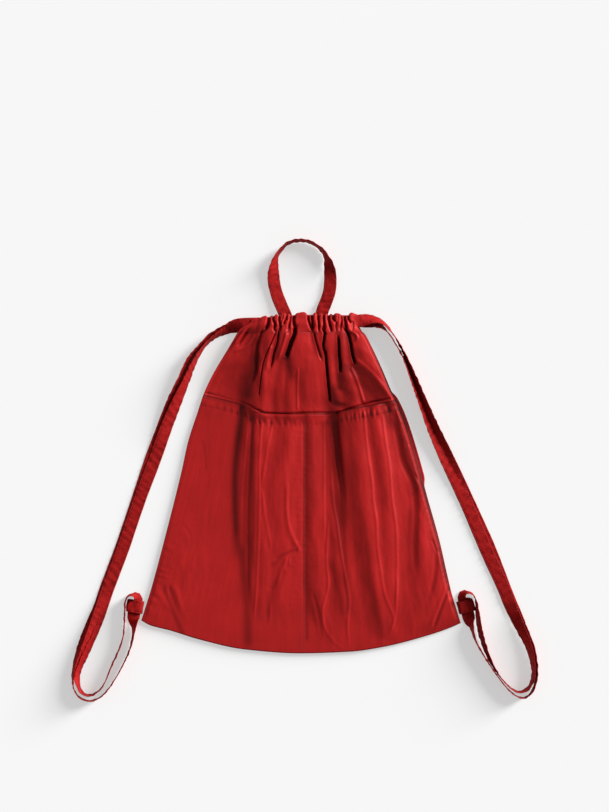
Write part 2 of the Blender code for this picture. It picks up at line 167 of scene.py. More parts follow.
class Form(Enum):
    """The section of a crease."""

    RIDGE = "a rounded crest"
    PLEAT = "a crest with a sharp line"
    CHANNEL = "a steep gap with a flat bottom"


PATH_STEPS = 6


@dataclass(frozen=True)
class Crease:
    """One fold of the cloth, along a path in the photograph's pixels, from the top down.

    Attributes:
        path: (x, y) in pixels.
        left: its half width on the left at the path's start, in pixels.
        right: the same on the right.
        height: the crest's height in millimetres, and below 0 for a valley.
        form: its section.
        fade: how many pixels the two ends take to die out, inside the path.
        end_width: what the half widths are multiplied by at the path's end.
    """

    path: Points
    left: float
    right: float
    height: float
    form: Form
    fade: tuple[float, float]
    end_width: float = 1.0

    def heights(self, x: np.ndarray, y: np.ndarray) -> np.ndarray:
        """The height that this crease adds.

        Args:
            x: places in metres.
            y: places in metres, in the same shape.

        Returns:
            Heights in metres, in the same shape.
        """
        line = smooth_line(PHOTO.plan(self.path), PATH_STEPS)
        reach = max(self.left, self.right) * max(1.0, self.end_width) * PHOTO.pixel
        low, high = line.min(axis=0) - reach, line.max(axis=0) + reach
        near = (x > low[0]) & (x < high[0]) & (y > low[1]) & (y < high[1])
        out = np.zeros_like(x)
        if near.any():
            out[near] = self._near(line, x[near], y[near])
        return out

    def _near(self, line: np.ndarray, x: np.ndarray, y: np.ndarray) -> np.ndarray:
        """The heights at places close to the path."""
        steps = np.diff(line, axis=0)
        lengths = np.linalg.norm(steps, axis=1)
        from_start = np.concatenate([[0], np.cumsum(lengths)])
        best = np.full(x.shape, np.inf)
        side = np.zeros(x.shape)
        along = np.zeros(x.shape)
        for a, step, length, so_far in zip(line, steps, lengths, from_start):
            dx, dy = x - a[0], y - a[1]
            share = np.clip((dx * step[0] + dy * step[1]) / length ** 2, 0, 1)
            off = np.hypot(dx - share * step[0], dy - share * step[1])
            closer = off < best
            best = np.where(closer, off, best)
            side = np.where(closer, step[0] * dy - step[1] * dx, side)
            along = np.where(closer, so_far + share * length, along)
        total = from_start[-1]
        widen = 1 + (self.end_width - 1) * along / total
        half = np.where(side > 0, self.right, self.left) * PHOTO.pixel * widen
        section = self._section(np.clip(best / half, 0, 1))
        first, last = (max(f, 0.01) * PHOTO.pixel for f in self.fade)
        ends = ease(along / first) * ease((total - along) / last)
        return self.height * MM * section * ends

    def _section(self, off: np.ndarray) -> np.ndarray:
        """The section's height from 1 on the path to 0 at its half width."""
        if self.form is Form.CHANNEL:
            return 1 - ease((off - 0.3) / 0.7)
        rounded = (1 + np.cos(math.pi * off)) / 2
        if self.form is Form.PLEAT:
            return 0.65 * (1 - np.sin(math.pi / 2 * off)) + 0.35 * rounded
        return rounded


def smooth_line(points: np.ndarray, steps: int) -> np.ndarray:
    """A smooth line through points, by Catmull and Rom's rule.

    Args:
        points: rows of coordinates.
        steps: how many pieces each stretch between two points gets.

    Returns:
        The finer line, which ends at the last point.
    """
    padded = np.vstack([2 * points[0] - points[1], points, 2 * points[-1] - points[-2]])
    fine = []
    for i in range(1, len(padded) - 2):
        a, b, c, d = padded[i - 1:i + 3]
        spans = [np.linalg.norm(q - p) ** 0.5 for p, q in ((a, b), (b, c), (c, d))]
        start = ((b - a) / spans[0] - (c - a) / (spans[0] + spans[1]) + (c - b) / spans[1]) * spans[1]
        end = ((c - b) / spans[1] - (d - b) / (spans[1] + spans[2]) + (d - c) / spans[2]) * spans[1]
        s = np.linspace(0, 1, steps, endpoint=False)[:, None]
        fine.append((1 + 2 * s) * (1 - s) ** 2 * b + s * (1 - s) ** 2 * start
                    + s * s * (3 - 2 * s) * c + s * s * (s - 1) * end)
    fine.append(padded[-2:-1])
    return np.vstack(fine)


@dataclass(frozen=True)
class FoldLine:
    """A line down the cloth along which it leans one way.

    rows are the y of its knots in the photograph's pixels, from the top down, places their x, and
    leans the lean there in degrees, above 0 where the cloth turns to the right.
    """

    rows: Sequence[float]
    places: Sequence[float]
    leans: Sequence[float]

    def place(self, down: np.ndarray) -> np.ndarray:
        """Its x at rows of pixels."""
        return SmoothCurve(list(zip(self.rows, self.places)), unit=1.0)(down)

    def lean(self, down: np.ndarray) -> np.ndarray:
        """Its lean at rows of pixels."""
        return SmoothCurve(list(zip(self.rows, self.leans)), unit=1.0)(down)


class Drape:
    """The large folds of a panel, found from how the cloth leans along its fold lines.

    The lean runs smoothly from each line to the next. The height is the one whose slope across the
    cloth comes closest to that lean, while it runs as evenly as it can down the cloth. It is kept on
    a grid of rows ROW apart, with points STEP apart from LEFT to RIGHT, all in metres. The lean dies
    out within SIDES of the panel's sides. Lines that meet are kept LEAST_GAP pixels apart.
    """

    STEP = 0.5 * MM
    ROW = 2 * STEP
    LEFT, RIGHT = -200 * MM, 200 * MM
    SIDES = 12 * MM
    LEAST_GAP = 0.01

    def __init__(self, lines: Sequence[FoldLine], low: float, high: float, share: float, reach: float,
                 evenness: float = 0.08) -> None:
        """Fits the folds.

        Args:
            lines: the fold lines, from left to right.
            low: the lowest y of the panel in metres.
            high: its highest y.
            share: how much of the lean is slope; the rest of the shade comes from shadow.
            reach: how far across the cloth a fold lifts what lies beside it, in metres.
            evenness: how much slopes down the cloth count against those across it.
        """
        self.low = low
        x = np.arange(self.LEFT, self.RIGHT, self.STEP)
        y = np.arange(low, high + self.ROW, self.ROW)
        across, down = PHOTO.across(x), PHOTO.down(y)
        places = np.stack([line.place(down) for line in lines])
        leans = np.stack([line.lean(down) for line in lines])
        places = np.maximum.accumulate(places + np.arange(len(lines))[:, None] * self.LEAST_GAP, axis=0)
        slopes = np.stack([self._row(across, places[:, i], leans[:, i]) for i in range(len(y))])
        inside = between(x, PLAN.left(y)[:, None], PLAN.right(y)[:, None], self.SIDES)
        slope = -np.tan(np.radians(slopes)) * share * inside
        mirrored = np.fft.fft2(np.vstack([slope, slope[::-1]]))
        down_waves, across_waves = (2 * math.pi * np.fft.fftfreq(n, d)
                                    for n, d in zip(mirrored.shape, (self.ROW, self.STEP)))
        stiffness = across_waves ** 2 + evenness * down_waves[:, None] ** 2 + reach ** -2
        self.grid = np.fft.ifft2(-1j * across_waves * mirrored / stiffness).real[:len(y)]

    @staticmethod
    def _row(across: np.ndarray, places: np.ndarray, leans: np.ndarray) -> np.ndarray:
        """The lean along one row, easing from line to line."""
        after = np.clip(np.searchsorted(places, across), 1, len(places) - 1)
        share = (across - places[after - 1]) / (places[after] - places[after - 1])
        return leans[after - 1] + (leans[after] - leans[after - 1]) * ease(share)

    def heights(self, x: np.ndarray, y: np.ndarray) -> np.ndarray:
        """The height that the folds add.

        Args:
            x: places in metres.
            y: places in metres, in the same shape.

        Returns:
            Heights in metres, in the same shape.
        """
        rows, columns = self.grid.shape
        r = np.clip((y - self.low) / self.ROW, 0, rows - 1.001)
        c = np.clip((x - self.LEFT) / self.STEP, 0, columns - 1.001)
        i, j = r.astype(int), c.astype(int)
        v, u = r - i, c - j
        near = self.grid[i, j] * (1 - u) + self.grid[i, j + 1] * u
        far = self.grid[i + 1, j] * (1 - u) + self.grid[i + 1, j + 1] * u
        return near * (1 - v) + far * v


@dataclass(frozen=True)
class CreaseField:
    """All the creases of one panel, and the small unevenness between them.

    Ridges and pleats add up, and of the channels the deepest counts. ripple and ripple_length are
    the height and the longest wave of the unevenness, in millimetres.
    """

    creases: tuple[Crease, ...]
    ripple: float = 0.12
    ripple_length: float = 22.0
    seed: int = 5

    def heights(self, x: np.ndarray, y: np.ndarray) -> np.ndarray:
        """The height that the creases and the unevenness add.

        Args:
            x: places in metres.
            y: places in metres, in the same shape.

        Returns:
            Heights in metres, in the same shape.
        """
        ridges = np.zeros_like(x)
        gaps = np.zeros_like(x)
        for crease in self.creases:
            if crease.form is Form.CHANNEL:
                gaps = np.minimum(gaps, crease.heights(x, y))
            else:
                ridges += crease.heights(x, y)
        return ridges + gaps + self._ripples(x, y)

    def _ripples(self, x: np.ndarray, y: np.ndarray) -> np.ndarray:
        """Shallow waves, each turned a little from straight across and bent down the cloth."""
        chance = np.random.default_rng(self.seed)
        total = np.zeros_like(x)
        length = self.ripple_length * MM
        for octave in (1.0, 0.55, 0.3):
            for _ in range(5):
                turn = chance.uniform(-0.45, 0.45)
                phase = chance.uniform(0, 2 * math.pi)
                count = 2 * math.pi / (length * octave)
                bent = 0.35 * length * np.sin(y * count * 0.4 + phase * 3)
                way = x * math.cos(turn) + (y + bent) * math.sin(turn)
                total += octave * np.sin(way * count + phase)
        return total * self.ripple * MM / 3


@dataclass(frozen=True)
class PaintedFoldShade:
    """Painted shade along a fold that closes on itself, where less light gets in than the mesh alone
    would keep out.

    left and right are how far its shade reaches to each side, and fade how far it fades at the two
    ends, in pixels. dark is how dark the painted shade is in its middle, from 0 to 1.
    """

    path: Points
    left: float
    right: float
    dark: float
    fade: tuple[float, float] = (6, 12)

    def shade(self, x: np.ndarray, y: np.ndarray) -> np.ndarray:
        """How much painted shade each point gets.

        Args:
            x: places in metres.
            y: places in metres, in the same shape.

        Returns:
            From 0 in the open to at most 1.
        """
        down = PHOTO.down(y)
        off = PHOTO.across(x) - SmoothCurve([(k[1], k[0]) for k in self.path], unit=1.0)(down)
        reach = np.where(off < 0, self.left, self.right)
        ends = ease((down - self.path[0][1]) / self.fade[0] + 0.5)
        ends = ends * ease((self.path[-1][1] - down) / self.fade[1] + 0.5)
        return self.dark * ends * np.exp(-(off / reach) ** 2)


@dataclass(frozen=True)
class SeamLine:
    """A line of painted shade, or a pulled-down line, that runs along an edge or a seam of the cloth.

    strength is how dark its painted shade is in the middle, from 0 to 1, or how deep it is, in metres.
    inset is how far its middle lies from the edge, and width how far it reaches to either side, both in
    metres.
    """

    strength: float
    inset: float
    width: float

    def at(self, off: np.ndarray) -> np.ndarray:
        """Its strength at distances from the edge."""
        return self.strength * beside(off - self.inset, self.width)


@dataclass(frozen=True)
class Wrinkles:
    """Short waves drawn in by a row of stitches, uneven because their phase wanders.

    turns is how fast they follow each other along the seam, in radians a metre. Their phase wanders
    by wander radians, as fast as wander_turns, and changes by slant away from the seam.
    """

    height: float
    turns: float
    wander: float
    wander_turns: float
    slant: float = 0.0

    def at(self, along: np.ndarray, away: Number = 0.0) -> np.ndarray:
        """The waves at places along a seam and away from it."""
        phase = self.wander * np.sin(along * self.wander_turns) + away * self.slant
        return self.height * np.sin(along * self.turns + phase)


@dataclass(frozen=True)
class PouchPlan:
    """The pouch seen from above.

    The knots are in millimetres: (y, x) up each side, (x, y) along the bottom seam and the pocket's
    top edge, and (share of the width, y) along the casing's top. cloth_width is the flat cloth's
    width in metres, for its weave. near_bottom and near_pocket are places in metres from which the
    search for a crossing starts.
    """

    left_side: Points = (
        (-203, -188.5), (-170, -178), (-110, -161.8), (-27, -141), (5, -134), (43, -121.8), (63, -115),
        (84, -105), (114, -87), (125, -80.5), (137, -73), (146, -60), (156, -58),
    )
    right_side: Points = (
        (-206, 185), (-168, 173.5), (-110, 160.2), (-50, 143.5), (-27, 137.5), (20, 123.5), (43, 115),
        (67, 103), (88, 94), (120, 79), (131, 73), (139, 65), (156, 63),
    )
    bottom_seam: Points = (
        (-189, -202.2), (-178, -208.2), (-155, -214.2), (-120, -225), (-67, -236.5), (-3, -241),
        (56, -239), (94, -233.5), (149, -219.2), (172, -211.2), (185, -205.5),
    )
    casing_top: Points = (
        (0, 148.5), (0.1, 150.8), (0.19, 153.6), (0.3, 154.4), (0.5, 155.4), (0.8, 155), (1, 154.8),
    )
    pocket_top: Points = (
        (-116, 60.5), (-85, 53), (-66, 48), (-54, 40), (-5, 38), (32, 38), (45, 42), (79, 48.5), (110, 55),
    )
    cloth_width: float = 0.40
    near_bottom: float = -0.22
    near_pocket: float = 0.04
    left: SmoothCurve = field(init=False)
    right: SmoothCurve = field(init=False)
    bottom: SmoothCurve = field(init=False)
    top: SmoothCurve = field(init=False)
    pocket: SmoothCurve = field(init=False)

    def __post_init__(self) -> None:
        """Fits the five curves."""
        for name, knots, scale in (("left", self.left_side, MM), ("right", self.right_side, MM),
                                   ("bottom", self.bottom_seam, MM), ("top", self.casing_top, 1.0),
                                   ("pocket", self.pocket_top, MM)):
            object.__setattr__(self, name, SmoothCurve(knots, scale))

    def across(self, u: Number, y: Number) -> Number:
        """The x of column u, from 0 at the left side to 1 at the right, at y."""
        return self.left(y) + u * (self.right(y) - self.left(y))

    def bottom_y(self, u: np.ndarray) -> np.ndarray:
        """The y where each column meets the bottom seam."""
        return self._crossing(self.bottom, u, self.near_bottom)

    def pocket_y(self, u: np.ndarray) -> np.ndarray:
        """The y where each column meets the pocket's top edge."""
        return self._crossing(self.pocket, u, self.near_pocket)

    def _crossing(self, edge: Callable[[Number], Number], u: np.ndarray, start: float) -> np.ndarray:
        """The y where each column meets an edge given as y over x, found in a dozen steps."""
        y = np.full_like(u, start)
        for _ in range(12):
            y = edge(self.across(u, y))
        return y

    def inset(self, x: np.ndarray, y: np.ndarray) -> tuple[np.ndarray, np.ndarray]:
        """How far places are from the left and from the right side."""
        return x - self.left(y), self.right(y) - x

    def cloth(self, u: np.ndarray, y: np.ndarray) -> np.ndarray:
        """Places on the flat cloth, whose width is the same from top to bottom."""
        return np.stack([np.broadcast_to(u * self.cloth_width, y.shape), y], axis=2)


PLAN = PouchPlan()


@dataclass(frozen=True)
class Layers:
    """Heights above the floor, in metres, and the places that several pieces share.

    A sheet's height is its middle's. inner is a casing's inner layer. The last four are places across
    the floor: the y of the casing's stitches, of the end of its hem and of the tape in it, and the x
    of the seam between the two pockets.
    """

    cloth: float = 0.5 * MM
    step: float = 1.1 * MM
    back_floor: float = 0.4 * MM
    back_inner: float = 4.0 * MM
    front_inner: float = 10.6 * MM
    front_stitch: float = 13.6 * MM
    lowest_front: float = 2.2 * MM
    tape_top: float = 14.6 * MM
    bottom_rise: float = 30 * MM
    stitch_line: float = 133 * MM
    hem_end: float = 134.4 * MM
    tape_line: float = 144 * MM
    middle_seam_x: float = 1 * MM


LAYERS = Layers()


class Value:
    """A socket that carries a number, so that Python's operators add Math nodes after it."""

    def __init__(self, tree: "ShaderTree", socket: bpy.types.NodeSocket) -> None:
        """Keeps the tree and the socket."""
        self.tree = tree
        self.socket = socket

    def _math(self, operation: str, *values: "Feed") -> "Value":
        """One Math node on this value and others."""
        return self.tree.math(operation, self, *values)

    def __add__(self, other: "Feed") -> "Value":
        """self + other."""
        return self._math("ADD", other)

    def __radd__(self, other: float) -> "Value":
        """other + self."""
        return self._math("ADD", other)

    def __sub__(self, other: "Feed") -> "Value":
        """self - other."""
        return self._math("SUBTRACT", other)

    def __rsub__(self, other: float) -> "Value":
        """other - self."""
        return self.tree.math("SUBTRACT", other, self)

    def __mul__(self, other: "Feed") -> "Value":
        """self * other."""
        return self._math("MULTIPLY", other)

    def __rmul__(self, other: float) -> "Value":
        """other * self."""
        return self._math("MULTIPLY", other)

    def __abs__(self) -> "Value":
        """The value without its sign."""
        return self._math("ABSOLUTE")

    def sine(self) -> "Value":
        """The sine of the value in radians."""
        return self._math("SINE")

    def clamped(self) -> "Value":
        """The value held between 0 and 1."""
        return self.tree.node("ShaderNodeClamp", {}, Value=self)


Feed = Union[Value, float, tuple]


class ShaderTree:
    """The node tree of a material or of the world, with the shader on its output."""

    MATH_SOCKETS = ("Value", "Value_001", "Value_002")

    def __init__(self, owner: Union[bpy.types.Material, bpy.types.World], shader: str) -> None:
        """Turns the owner's nodes on and finds its shader.

        Args:
            owner: the material or the world.
            shader: the name of the shader node that it starts with.
        """
        owner.use_nodes = True
        self.owner = owner
        self.nodes = owner.node_tree.nodes
        self.links = owner.node_tree.links
        self.shader = self.nodes[shader]

    @classmethod
    def of_material(cls, name: str) -> "ShaderTree":
        """The tree of a new material with a Principled shader."""
        return cls(bpy.data.materials.new(name), "Principled BSDF")

    def feed(self, socket: bpy.types.NodeSocket, value: Feed) -> None:
        """Links a value to a socket, or sets the socket to it."""
        if isinstance(value, Value):
            self.links.new(value.socket, socket)
        else:
            socket.default_value = value

    def node(self, kind: str, settings: dict, output: Union[int, str] = 0, **sockets: Feed) -> Value:
        """Adds any node.

        Args:
            kind: the node's type.
            settings: its properties, set before its sockets.
            output: which output to hand back.
            **sockets: values or links, by the input's name with _ for a space, or by its identifier.

        Returns:
            The chosen output.
        """
        made = self.nodes.new(kind)
        for name, setting in settings.items():
            setattr(made, name, setting)
        for name, value in sockets.items():
            usable = [s for s in made.inputs if s.enabled]
            wanted = next(s for s in usable if name in (s.name.replace(" ", "_"), s.identifier))
            self.feed(wanted, value)
        return Value(self, made.outputs[output])

    def math(self, operation: str, *values: Feed) -> Value:
        """One Math node on up to three values."""
        sockets = dict(zip(self.MATH_SOCKETS, values))
        return self.node("ShaderNodeMath", {"operation": operation}, **sockets)

    def mix(self, share: Feed, first: Feed, second: Feed) -> Value:
        """A colour between two colours, at a share from 0 for the first to 1 for the second."""
        return self.node("ShaderNodeMix", {"data_type": "RGBA"}, 2, Factor=share, A=first, B=second)

    def parts(self, vector: Value) -> list[Value]:
        """The three numbers of a vector."""
        return [self.node("ShaderNodeSeparateXYZ", {}, axis, Vector=vector) for axis in "XYZ"]

    def place(self) -> Value:
        """The place on the object, in metres."""
        return self.node("ShaderNodeTexCoord", {}, "Object")

    def noise(self, place: Value, scale: float, detail: float = 2.0, roughness: float = 0.5) -> Value:
        """Cloudy noise, about 0.5 on the average."""
        return self.node("ShaderNodeTexNoise", {}, Vector=place, Scale=scale, Detail=detail,
                         Roughness=roughness)

    def bump(self, height: Value, depth: float, strength: float = 1.0, **sockets: Value) -> Value:
        """A normal bent by a height, whose full range is depth metres."""
        return self.node("ShaderNodeBump", {}, Height=height, Distance=depth, Strength=strength, **sockets)

    def set(self, **sockets: Feed) -> None:
        """Sets or links the shader's own sockets, by name with _ for a space."""
        for name, value in sockets.items():
            self.feed(self.shader.inputs[name.replace("_", " ")], value)


@dataclass(frozen=True)
class NylonFinish:
    """Woven nylon: satin, with a fine plain weave and slightly uneven colour.

    The weave follows the mesh's own cloth attribute, which holds metres across and along the cloth
    and how much painted shade each point gets, deep in folds and along seams.

    colour is that of the threads that catch the light, and shade that of the threads between them.
    The third colour is the painted shade that the cloth takes deep in a fold and along its seams.
    wrinkles is how the fine streaks are drawn out, across and along the cloth.
    """

    name: str
    colour: Colour
    shade: Colour
    fold_shade_colour: Colour = (0.05, 0.001, 0.001, 1)
    thread: float = 0.45 * MM
    weave_depth: float = 0.05 * MM
    crinkle_depth: float = 0.36 * MM
    wrinkles: tuple[float, float, float] = (1.0, 0.1, 0.0)
    wrinkle_scale: float = 160.0
    unevenness: float = 1.9
    weave_share: float = 0.4
    roughness: float = 0.46
    roughness_range: float = 0.14
    metallic: float = 0.1
    specular: float = 0.1

    def material(self) -> bpy.types.Material:
        """Makes the material."""
        tree = ShaderTree.of_material(self.name)
        cloth = tree.node("ShaderNodeAttribute", {"attribute_name": "cloth"}, "Vector")
        # The cloth attribute's third number is how much painted shade a point gets, in folds and along
        # seams.
        across, along, depth = tree.parts(cloth)
        weave = self._weave(across, along)
        place = tree.place()
        clouds = tree.noise(place, 38.0, 3.0)
        slubs = tree.noise(place, 900.0, 1.0)
        crinkle = tree.noise(place, 95.0, 3.0, 0.55)
        drawn = tree.node("ShaderNodeVectorMath", {"operation": "MULTIPLY"}, "Vector", Vector=cloth,
                          Vector_001=self.wrinkles)
        streaks = tree.noise(drawn, self.wrinkle_scale, 3.0, 0.6)
        uneven = clouds * 0.5 + slubs * 0.25 + streaks * 0.5 - 0.62
        share = uneven * self.unevenness + weave * self.weave_share + 0.18
        folded = tree.bump(crinkle * 0.4 + streaks * 0.6, self.crinkle_depth, 0.7)
        tree.set(
            # Painted shade: the woven colour darkens towards the third colour deep in folds and along seams.
            Base_Color=tree.mix(depth, tree.mix(share.clamped(), self.shade, self.colour), self.fold_shade_colour),
            Roughness=(clouds - 0.5) * self.roughness_range + self.roughness,
            Normal=tree.bump(weave, self.weave_depth, 0.6, Normal=folded),
            Metallic=self.metallic,
            Specular_IOR_Level=self.specular,
        )
        return tree.owner

    def _weave(self, across: Value, along: Value) -> Value:
        """The height of the plain weave's threads, from 0 to 1."""
        turns = math.pi / self.thread
        weft = (along * turns).sine()
        warp = (across * turns).sine() * weft
        return abs(weft) * 0.65 + abs(warp) * 0.35


@dataclass(frozen=True)
class ThreadFinish:
    """Twisted sewing thread, a little brighter than the cloth."""

    name: str = "sewing_thread"
    colour: Colour = (0.40, 0.018, 0.02, 1)
    shade: Colour = (0.27, 0.01, 0.012, 1)
    fuzz_scale: float = 2500.0
    fuzz_depth: float = 0.1 * MM
    roughness: float = 0.5
    roughness_range: float = 0.2
    sheen: float = 0.1

    def material(self) -> bpy.types.Material:
        """Makes the material."""
        tree = ShaderTree.of_material(self.name)
        fuzz = tree.noise(tree.place(), self.fuzz_scale, 1.0)
        tree.set(
            Base_Color=tree.mix(fuzz, self.shade, self.colour),
            Roughness=(fuzz - 0.5) * self.roughness_range + self.roughness,
            Normal=tree.bump(fuzz, self.fuzz_depth, 0.4),
            Sheen_Weight=self.sheen,
        )
        return tree.owner


@dataclass(frozen=True)
class FloorFinish:
    """A plain pale floor that glows a little, so that it comes out nearly white beside the shadow."""

    name: str = "pale_floor"
    grey: float = 0.44
    glow: float = 0.485
    roughness: float = 0.9
    specular: float = 0.1

    def material(self) -> bpy.types.Material:
        """Makes the material."""
        tree = ShaderTree.of_material(self.name)
        tree.set(
            Base_Color=(self.grey, self.grey, self.grey, 1),
            Roughness=self.roughness,
            Specular_IOR_Level=self.specular,
            Emission_Color=(1, 1, 1, 1),
            Emission_Strength=self.glow,
        )
        return tree.owner


class Finish(Enum):
    """The finishes of the pouch."""

    CLOTH = NylonFinish("nylon_taffeta", (0.446, 0.013, 0.013, 1), (0.321, 0.0097, 0.0097, 1))
    TAPE = NylonFinish("nylon_tape", (0.42, 0.014, 0.014, 1), (0.25, 0.008, 0.008, 1),
                       crinkle_depth=1.6 * MM, wrinkles=(0.35, 1.0, 0.0), wrinkle_scale=260.0,
                       roughness=0.6, metallic=0.0, specular=0.03)
    THREAD = ThreadFinish()
    FLOOR = FloorFinish()


class Slot(Enum):
    """The record's material slots."""

    CLOTH = "nylon_cloth"
    TAPE = "nylon_tape"


class Wardrobe:
    """The materials, each made once."""

    def __init__(self) -> None:
        """Starts empty."""
        self._made: dict[Finish, bpy.types.Material] = {}

    def material(self, finish: Finish) -> bpy.types.Material:
        """The material of a finish."""
        if finish not in self._made:
            self._made[finish] = finish.value.material()
        return self._made[finish]


@dataclass
class Piece:
    """A mesh that is being put together, with its place on the cloth for each point."""

    name: str
    points: list[np.ndarray] = field(default_factory=list)
    cloth: list[np.ndarray] = field(default_factory=list)
    faces: list[np.ndarray] = field(default_factory=list)
    count: int = 0

    def add(self, points: np.ndarray, cloth: np.ndarray, faces: np.ndarray) -> None:
        """Adds points and the faces between them.

        Args:
            points: rows of (x, y, z) in metres.
            cloth: rows of (across, along) on the cloth in metres and the painted shade, one for each point.
            faces: rows of four indices into these points.
        """
        self.points.append(points)
        self.cloth.append(cloth)
        self.faces.append(faces + self.count)
        self.count += len(points)

    def finish(self, material: bpy.types.Material, slot: Slot,
               replaces: Sequence[str] = ()) -> bpy.types.Object:
        """Makes the object, which rides on the pouch.

        Args:
            material: its material.
            slot: the record's material slot; not used.
            replaces: the solids that it stands for.

        Returns:
            The object.
        """
        mesh = bpy.data.meshes.new(self.name)
        points, cloth, faces = (np.vstack(rows) for rows in (self.points, self.cloth, self.faces))
        mesh.from_pydata(points.tolist(), [], faces.tolist())
        mesh.shade_smooth()
        place = mesh.attributes.new("cloth", "FLOAT_VECTOR", "POINT")
        place.data.foreach_set("vector", cloth.astype(np.float32).ravel())
        mesh.materials.append(material)
        made = bpy.data.objects.new(self.name, mesh)
        bpy.context.scene.collection.objects.link(made)
        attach(made, BODY)
        if replaces:
            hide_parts(*replaces)
        LOG.info("%s: %d points, %d faces", self.name, len(points), len(faces))
        return made


def grid_faces(rows: int, columns: int, around: bool = False) -> np.ndarray:
    """The quads of a grid whose points run along each row.

    Args:
        rows: how many rows it has.
        columns: how many points each row has.
        around: whether each row closes on itself.

    Returns:
        Rows of four indices.
    """
    reach = columns if around else columns - 1
    r, c = np.meshgrid(np.arange(rows - 1), np.arange(reach), indexing="ij")
    right = (c + 1) % columns
    corners = [r * columns + c, r * columns + right, (r + 1) * columns + right, (r + 1) * columns + c]
    return np.stack([k.ravel() for k in corners], axis=1)


def stacked(rows: list[tuple[Number, Number]], u: np.ndarray) -> tuple[np.ndarray, ...]:
    """Rows of (y, height) as two grids, with each row as long as u."""
    return tuple(np.stack([np.broadcast_to(row[item], u.shape) for row in rows]) for item in (0, 1))


def grid_normals(grid: np.ndarray) -> np.ndarray:
    """The normal at each point of a grid of points, by its neighbours."""
    down = np.gradient(grid, axis=0)
    along = np.gradient(grid, axis=1)
    normals = np.cross(along, down)
    return normals / np.maximum(np.linalg.norm(normals, axis=2, keepdims=True), 1e-12)


def shade_from_folds(grid: np.ndarray, reach: float, depth: float) -> np.ndarray:
    """How much painted shade each point of a sheet gets, by how deep it lies in the folds around it.

    Args:
        grid: rows by columns of (x, y, z).
        reach: how far to each side the heights are compared, in metres.
        depth: how far below its surroundings a point gets the full painted shade, in metres.

    Returns:
        Rows by columns, from 0 in the open to 1 deep in a fold.
    """
    deepest = np.zeros(grid.shape[:2])
    for lines, out in ((grid, deepest), (grid.transpose(1, 0, 2), deepest.T)):
        for line, sheltered in zip(lines, out):
            length = np.linalg.norm(np.diff(line, axis=0), axis=1).sum()
            half = max(2, int(reach * len(line) / max(length, 1e-6)))
            padded = np.pad(line[:, 2], half, mode="edge")
            sums = np.concatenate([[0], np.cumsum(padded)])
            around = (sums[2 * half:] - sums[:-2 * half])[:len(line)] / (2 * half)
            np.maximum(sheltered, np.clip((around - line[:, 2]) / depth, 0, 1), out=sheltered)
    return deepest


# Painted shade in folds, at two sizes: (reach, depth) in metres.
FOLD_SHADE_SIZES = ((5 * MM, 3.0 * MM), (11 * MM, 6.5 * MM))


def sheet_piece(name: str, grid: np.ndarray, cloth: np.ndarray, thickness: Number,
                gaps: Number = 0.0) -> Piece:
    """A closed sheet with two faces and an edge all round.

    Args:
        name: the piece's name.
        grid: the middle of the sheet, rows by columns of (x, y, z).
        cloth: rows by columns of places on the cloth.
        thickness: the sheet's thickness, one or one for each point.
        gaps: the painted shade that each point gets beside what lies on it, from 0 to 1.

    Returns:
        The piece, ready to be finished.
    """
    rows, columns = grid.shape[:2]
    count = rows * columns
    half = grid_normals(grid) * (np.broadcast_to(thickness, (rows, columns)) / 2)[:, :, None]
    both = np.concatenate([(grid + half).reshape(-1, 3), (grid - half).reshape(-1, 3)])
    upper = grid_faces(rows, columns)
    lower = upper[:, ::-1] + count
    index = np.arange(count).reshape(rows, columns)
    rim = np.concatenate([index[0, :-1], index[:-1, -1], index[-1, :0:-1], index[:0:-1, 0]])
    after = np.roll(rim, -1)
    edge = np.stack([after, rim, rim + count, after + count], axis=1)
    piece = Piece(name)
    # Painted shade from the folds, with the gaps' own painted shade, goes into the cloth attribute's third
    # number.
    folds = np.maximum(*(shade_from_folds(grid, reach, depth) for reach, depth in FOLD_SHADE_SIZES))
    places = np.dstack([cloth, np.clip(folds + gaps, 0, 1)]).reshape(-1, 3)
    piece.add(both, np.tile(places, (2, 1)), np.concatenate([upper, lower, edge]))
    return piece


def lengths_along(line: np.ndarray) -> np.ndarray:
    """How far along a line each of its points is."""
    return np.concatenate([[0], np.cumsum(np.linalg.norm(np.diff(line, axis=0), axis=1))])


def unit(vectors: np.ndarray) -> np.ndarray:
    """Vectors, or one, brought to a length of 1."""
    return vectors / np.maximum(np.linalg.norm(vectors, axis=-1, keepdims=True), 1e-9)


